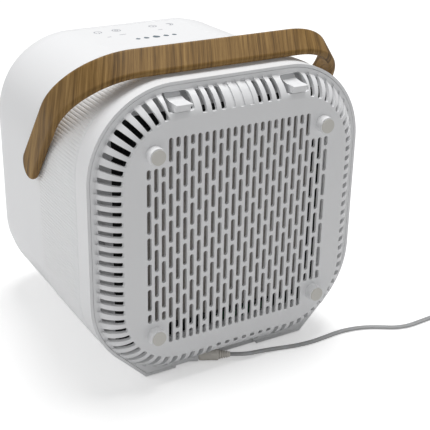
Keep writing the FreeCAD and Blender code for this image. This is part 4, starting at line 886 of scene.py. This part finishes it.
@dataclass
class Housing:
    """What the housing shows beyond its CAD skin: the ribbed band and the printed marks."""

    shop: Paintshop
    half: float = 120.0
    top: float = 241.5
    corner: float = 70.0
    low_arc: float = 76.1
    rim: float = 101.25
    depth: float = 225.0
    taper: float = 3.0
    front_round: float = 46.0
    band_front: float = 5.0
    band_rear: float = 81.0
    band_edge: float = 0.5
    rib_pitch: float = 2.9
    rib_height: float = 0.42
    bead_pitch: float = 2.9
    bead_level: float = 0.45
    skin_lift: float = 0.04
    skin_depth: float = 0.5
    print_lift: float = 0.06
    print_depth: float = 0.1

    def draw_in(self, y: float) -> float:
        """How far the sides and top are drawn in at a depth."""
        return self.taper * (self.rim - y) / self.depth

    def outline(self, y: float) -> Tuple[Callable[[float], Tuple[Vector, Vector]], float]:
        """The body's outline at a depth, from one chamfer over the top to the other.

        Args:
            y: the depth.

        Returns:
            A function from distance to (point, outward normal), and the outline's length.
        """
        lateral = self.draw_in(y)
        half = self.half - lateral
        top = self.top - lateral
        centre = self.half - self.corner
        radius = half - centre
        top_arc = top - radius
        runs = [("arc", (centre, self.low_arc), -45.0, 0.0), ("line", (half, self.low_arc), (half, top_arc)),
                ("arc", (centre, top_arc), 0.0, 90.0), ("line", (centre, top), (-centre, top)),
                ("arc", (-centre, top_arc), 90.0, 180.0), ("line", (-half, top_arc), (-half, self.low_arc)),
                ("arc", (-centre, self.low_arc), 180.0, 225.0)]
        lengths = [math.radians(r[3] - r[2]) * radius if r[0] == "arc"
                   else math.hypot(r[2][0] - r[1][0], r[2][1] - r[1][1]) for r in runs]

        def at(distance: float) -> Tuple[Vector, Vector]:
            """Point and normal at a distance along the outline."""
            left = min(max(distance, 0.0), sum(lengths) - 1e-9)
            for run, length in zip(runs, lengths):
                if left <= length:
                    break
                left -= length
            if run[0] == "arc":
                angle = math.radians(run[2]) + left / radius
                normal = Vector((math.cos(angle), 0.0, math.sin(angle)))
                return Vector((run[1][0], y, run[1][1])) + normal * radius, normal
            way = Vector((run[2][0] - run[1][0], 0.0, run[2][1] - run[1][1])).normalized()
            return Vector((run[1][0], y, run[1][1])) + way * left, Vector((way.z, 0.0, -way.x))

        return at, sum(lengths)

    def ribbed_band(self) -> bpy.types.Object:
        """Fine beaded ribs round the sides and top, between two plain strips.

        Returns:
            The piece.
        """
        total = self.outline(self.rim)[1]
        ribs = int(round(total / self.rib_pitch))
        shares = [0.0, 0.16, 0.34, 0.5, 0.66, 0.84]
        levels = [1.0, 0.98, 0.80, 0.0, 0.80, 0.98]
        columns = [((rib + s) / ribs, level) for rib in range(ribs) for s, level in zip(shares, levels)]
        beads = int(round((self.band_rear - self.band_front) / self.bead_pitch))
        first = self.band_front + 2 * self.band_edge
        span = self.band_rear - self.band_front - 4 * self.band_edge
        rows = [self.band_front, self.band_front + self.band_edge]
        rows += [first + span * k / (2 * beads) for k in range(2 * beads + 1)]
        rows += [self.band_rear - self.band_edge, self.band_rear]
        outer: List[List[Point]] = []
        inner: List[List[Point]] = []
        for index, y in enumerate(rows):
            at, length = self.outline(y)
            edge = min(index, len(rows) - 1 - index)
            rise = (0.0, 0.7, 1.0)[min(edge, 2)]
            bar = self.bead_level if edge > 1 and index % 2 else 0.0
            outer_row: List[Point] = []
            inner_row: List[Point] = []
            for share, level in columns:
                point, normal = at(share * length)
                height = self.skin_lift + self.rib_height * rise * max(level, bar)
                outer_row.append(tuple((point + normal * height) * MM))
                inner_row.append(tuple((point - normal * self.skin_depth) * MM))
            outer.append(outer_row)
            inner.append(inner_row)
        points, faces = grid_shell(outer, inner, False)
        piece = mesh_piece("ribbed_band", points, faces, Body.HOUSING, self.shop, "shell_white")
        return piece

    def mark(self, name: str, shapes: Sequence[Sequence[Tuple[float, float]]], slot: str) -> bpy.types.Object:
        """Thin printed shapes on the top.

        Args:
            name: the piece's name.
            shapes: closed outlines, each as (x, y) points.
            slot: the print's finish.

        Returns:
            The piece.
        """
        points: List[Point] = []
        faces: List[Tuple[int, ...]] = []
        for shape in shapes:
            first, count = len(points), len(shape)
            for lift in (-self.print_depth, self.print_lift):
                points += [(x * MM, y * MM, (self.top_height(y) + lift) * MM) for x, y in shape]
            faces.append(tuple(first + k for k in range(count)))
            faces.append(tuple(first + count + k for k in range(count)))
            faces += [(first + k, first + (k + 1) % count, first + count + (k + 1) % count, first + count + k)
                      for k in range(count)]
        return mesh_piece(name, points, faces, Body.HOUSING, self.shop, slot, smooth=False)

    def top_height(self, y: float) -> float:
        """Height of the top at a depth, past the start of the front's rounding too."""
        start = self.rim - self.depth + self.front_round
        over = max(0.0, start - y)
        sag = self.front_round - math.sqrt(max(0.0, self.front_round ** 2 - over ** 2))
        return self.top - self.draw_in(y) - sag

    def build(self) -> None:
        """Make the housing's pieces."""
        self.ribbed_band()
        Icons(self).build()


class Icon(Enum):
    """Generic touch marks."""

    POWER = "power"
    SPEED = "speed"
    TIMER = "timer"
    NIGHT = "night"


@dataclass
class Icons:
    """Touch marks and a drop mark printed on the top."""

    housing: Housing
    row_y: float = -62.0
    lamp_y: float = -46.0
    drop_y: float = -26.0
    drop_shift: float = -3.0
    size: float = 4.0
    line: float = 1.0
    lamp_line: float = 1.1
    marks: Tuple[Tuple[Icon, float], ...] = ((Icon.POWER, 34.2), (Icon.SPEED, 17.0), (Icon.TIMER, -18.0),
                                             (Icon.NIGHT, -34.4))
    lamps: Tuple[Point, ...] = ((32.2, 3.0, 3.4), (18.4, 0.0, 6.0), (-18.0, -1.5, 4.0))
    drops: Tuple[Tuple[float, float], ...] = ((17.0, 2.0), (9.2, 2.4), (0.0, 3.2), (-9.2, 2.4), (-17.0, 2.0))

    def ring(self, x: float, y: float, radius: float, start: float = 0.0, end: float = 360.0,
             ) -> List[List[Tuple[float, float]]]:
        """Short strips that make up a ring or an arc.

        Args:
            x: centre.
            y: centre.
            radius: middle radius.
            start: first angle in degrees.
            end: last angle in degrees.

        Returns:
            Closed outlines.
        """
        pieces = max(3, int((end - start) / 18))
        strips = []
        for k in range(pieces):
            a, b = (math.radians(start + (end - start) * (k + e) / pieces) for e in (0, 1))
            inner, outer = radius - self.line / 2, radius + self.line / 2
            strips.append([(x + inner * math.cos(a), y + inner * math.sin(a)),
                           (x + outer * math.cos(a), y + outer * math.sin(a)),
                           (x + outer * math.cos(b), y + outer * math.sin(b)),
                           (x + inner * math.cos(b), y + inner * math.sin(b))])
        return strips

    def bar(self, x: float, y: float, width: float, height: float) -> List[Tuple[float, float]]:
        """A small upright bar's outline."""
        return [(x - width / 2, y - height / 2), (x + width / 2, y - height / 2),
                (x + width / 2, y + height / 2), (x - width / 2, y + height / 2)]

    def shapes(self, icon: Icon, x: float, y: float) -> List[List[Tuple[float, float]]]:
        """Outlines of one mark.

        Args:
            icon: which mark.
            x: centre.
            y: centre.

        Returns:
            Closed outlines.
        """
        s = self.size
        if icon is Icon.POWER:
            return self.ring(x, y, s * 0.8, 120, 420) + [self.bar(x, y + s * 0.7, self.line, s * 0.9)]
        if icon is Icon.SPEED:
            return self.ring(x, y, s * 0.9) + self.ring(x, y, s * 0.35)
        if icon is Icon.TIMER:
            return self.ring(x, y, s * 0.8) + [self.bar(x, y + s * 0.25, self.line, s * 0.5)]
        return self.ring(x, y, s * 0.8, 60, 300) + self.ring(x + s * 0.4, y, s * 0.7, 95, 265)

    def drop(self, x: float, y: float, size: float) -> List[Tuple[float, float]]:
        """A water drop's outline."""
        points = [(x, y - size * 1.5)]
        for k in range(17):
            t = math.radians(-30 + 240 * k / 16)
            points.append((x + size * math.cos(t), y + size * math.sin(t)))
        return points

    def build(self) -> None:
        """Print the marks."""
        shapes: List[List[Tuple[float, float]]] = []
        for icon, x in self.marks:
            shapes += self.shapes(icon, x, self.row_y)
        for x, back, length in self.lamps:
            shapes.append(self.bar(x, self.lamp_y + back, length, self.lamp_line))
        self.housing.mark("touch_marks", shapes, "icon_grey")
        drops = [self.drop(x + self.drop_shift, self.drop_y, size) for x, size in self.drops]
        self.housing.mark("drop_marks", drops, "mark_grey")


@dataclass
class Filter:
    """Pleated felt behind the intake grille."""

    shop: Paintshop
    pleat: float = 5.0
    fold: float = 2.4
    steps: int = 40
    profile: Tuple[Tuple[float, float], ...] = ((0.0, 0.0), (0.2, 0.25), (0.42, 0.92), (0.5, 1.0),
                                                (0.58, 0.92), (0.8, 0.25))

    def build(self) -> None:
        """Make the pleated pad in the place of its CAD block."""
        low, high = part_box("intake_filter")
        pleats = int(round((high[0] - low[0]) / (self.pleat * MM)))
        columns = [(low[0] + (high[0] - low[0]) * (k + s) / pleats, level)
                   for k in range(pleats) for s, level in self.profile]
        columns.append((high[0], 0.0))
        rows = [low[2] + (high[2] - low[2]) * k / self.steps for k in range(self.steps + 1)]
        rear: List[List[Point]] = []
        front: List[List[Point]] = []
        for z in rows:
            sway = 0.0006 * math.sin(z * 31.0) + 0.0003 * math.sin(z * 97.0)
            rear.append([(min(max(x + sway * level, low[0]), high[0]),
                          high[1] - self.fold * MM * (1.0 - level), z) for x, level in columns])
            front.append([(x, low[1] + self.fold * MM * (1.0 - level), z) for x, level in columns])
        points, faces = grid_shell(rear, front, False)
        piece = mesh_piece("pleated_filter", points, faces, Body.HOUSING, self.shop, "felt")
        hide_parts("intake_filter")


def main() -> None:
    """Build everything in order."""
    logging.basicConfig(level=logging.INFO, format="%(name)s: %(message)s")
    Studio().build()
    shop = Paintshop()
    Lead(shop).build()
    shop.dress_frame()
    Housing(shop).build()
    Filter(shop).build()


if __name__ == "__main__":
    main()
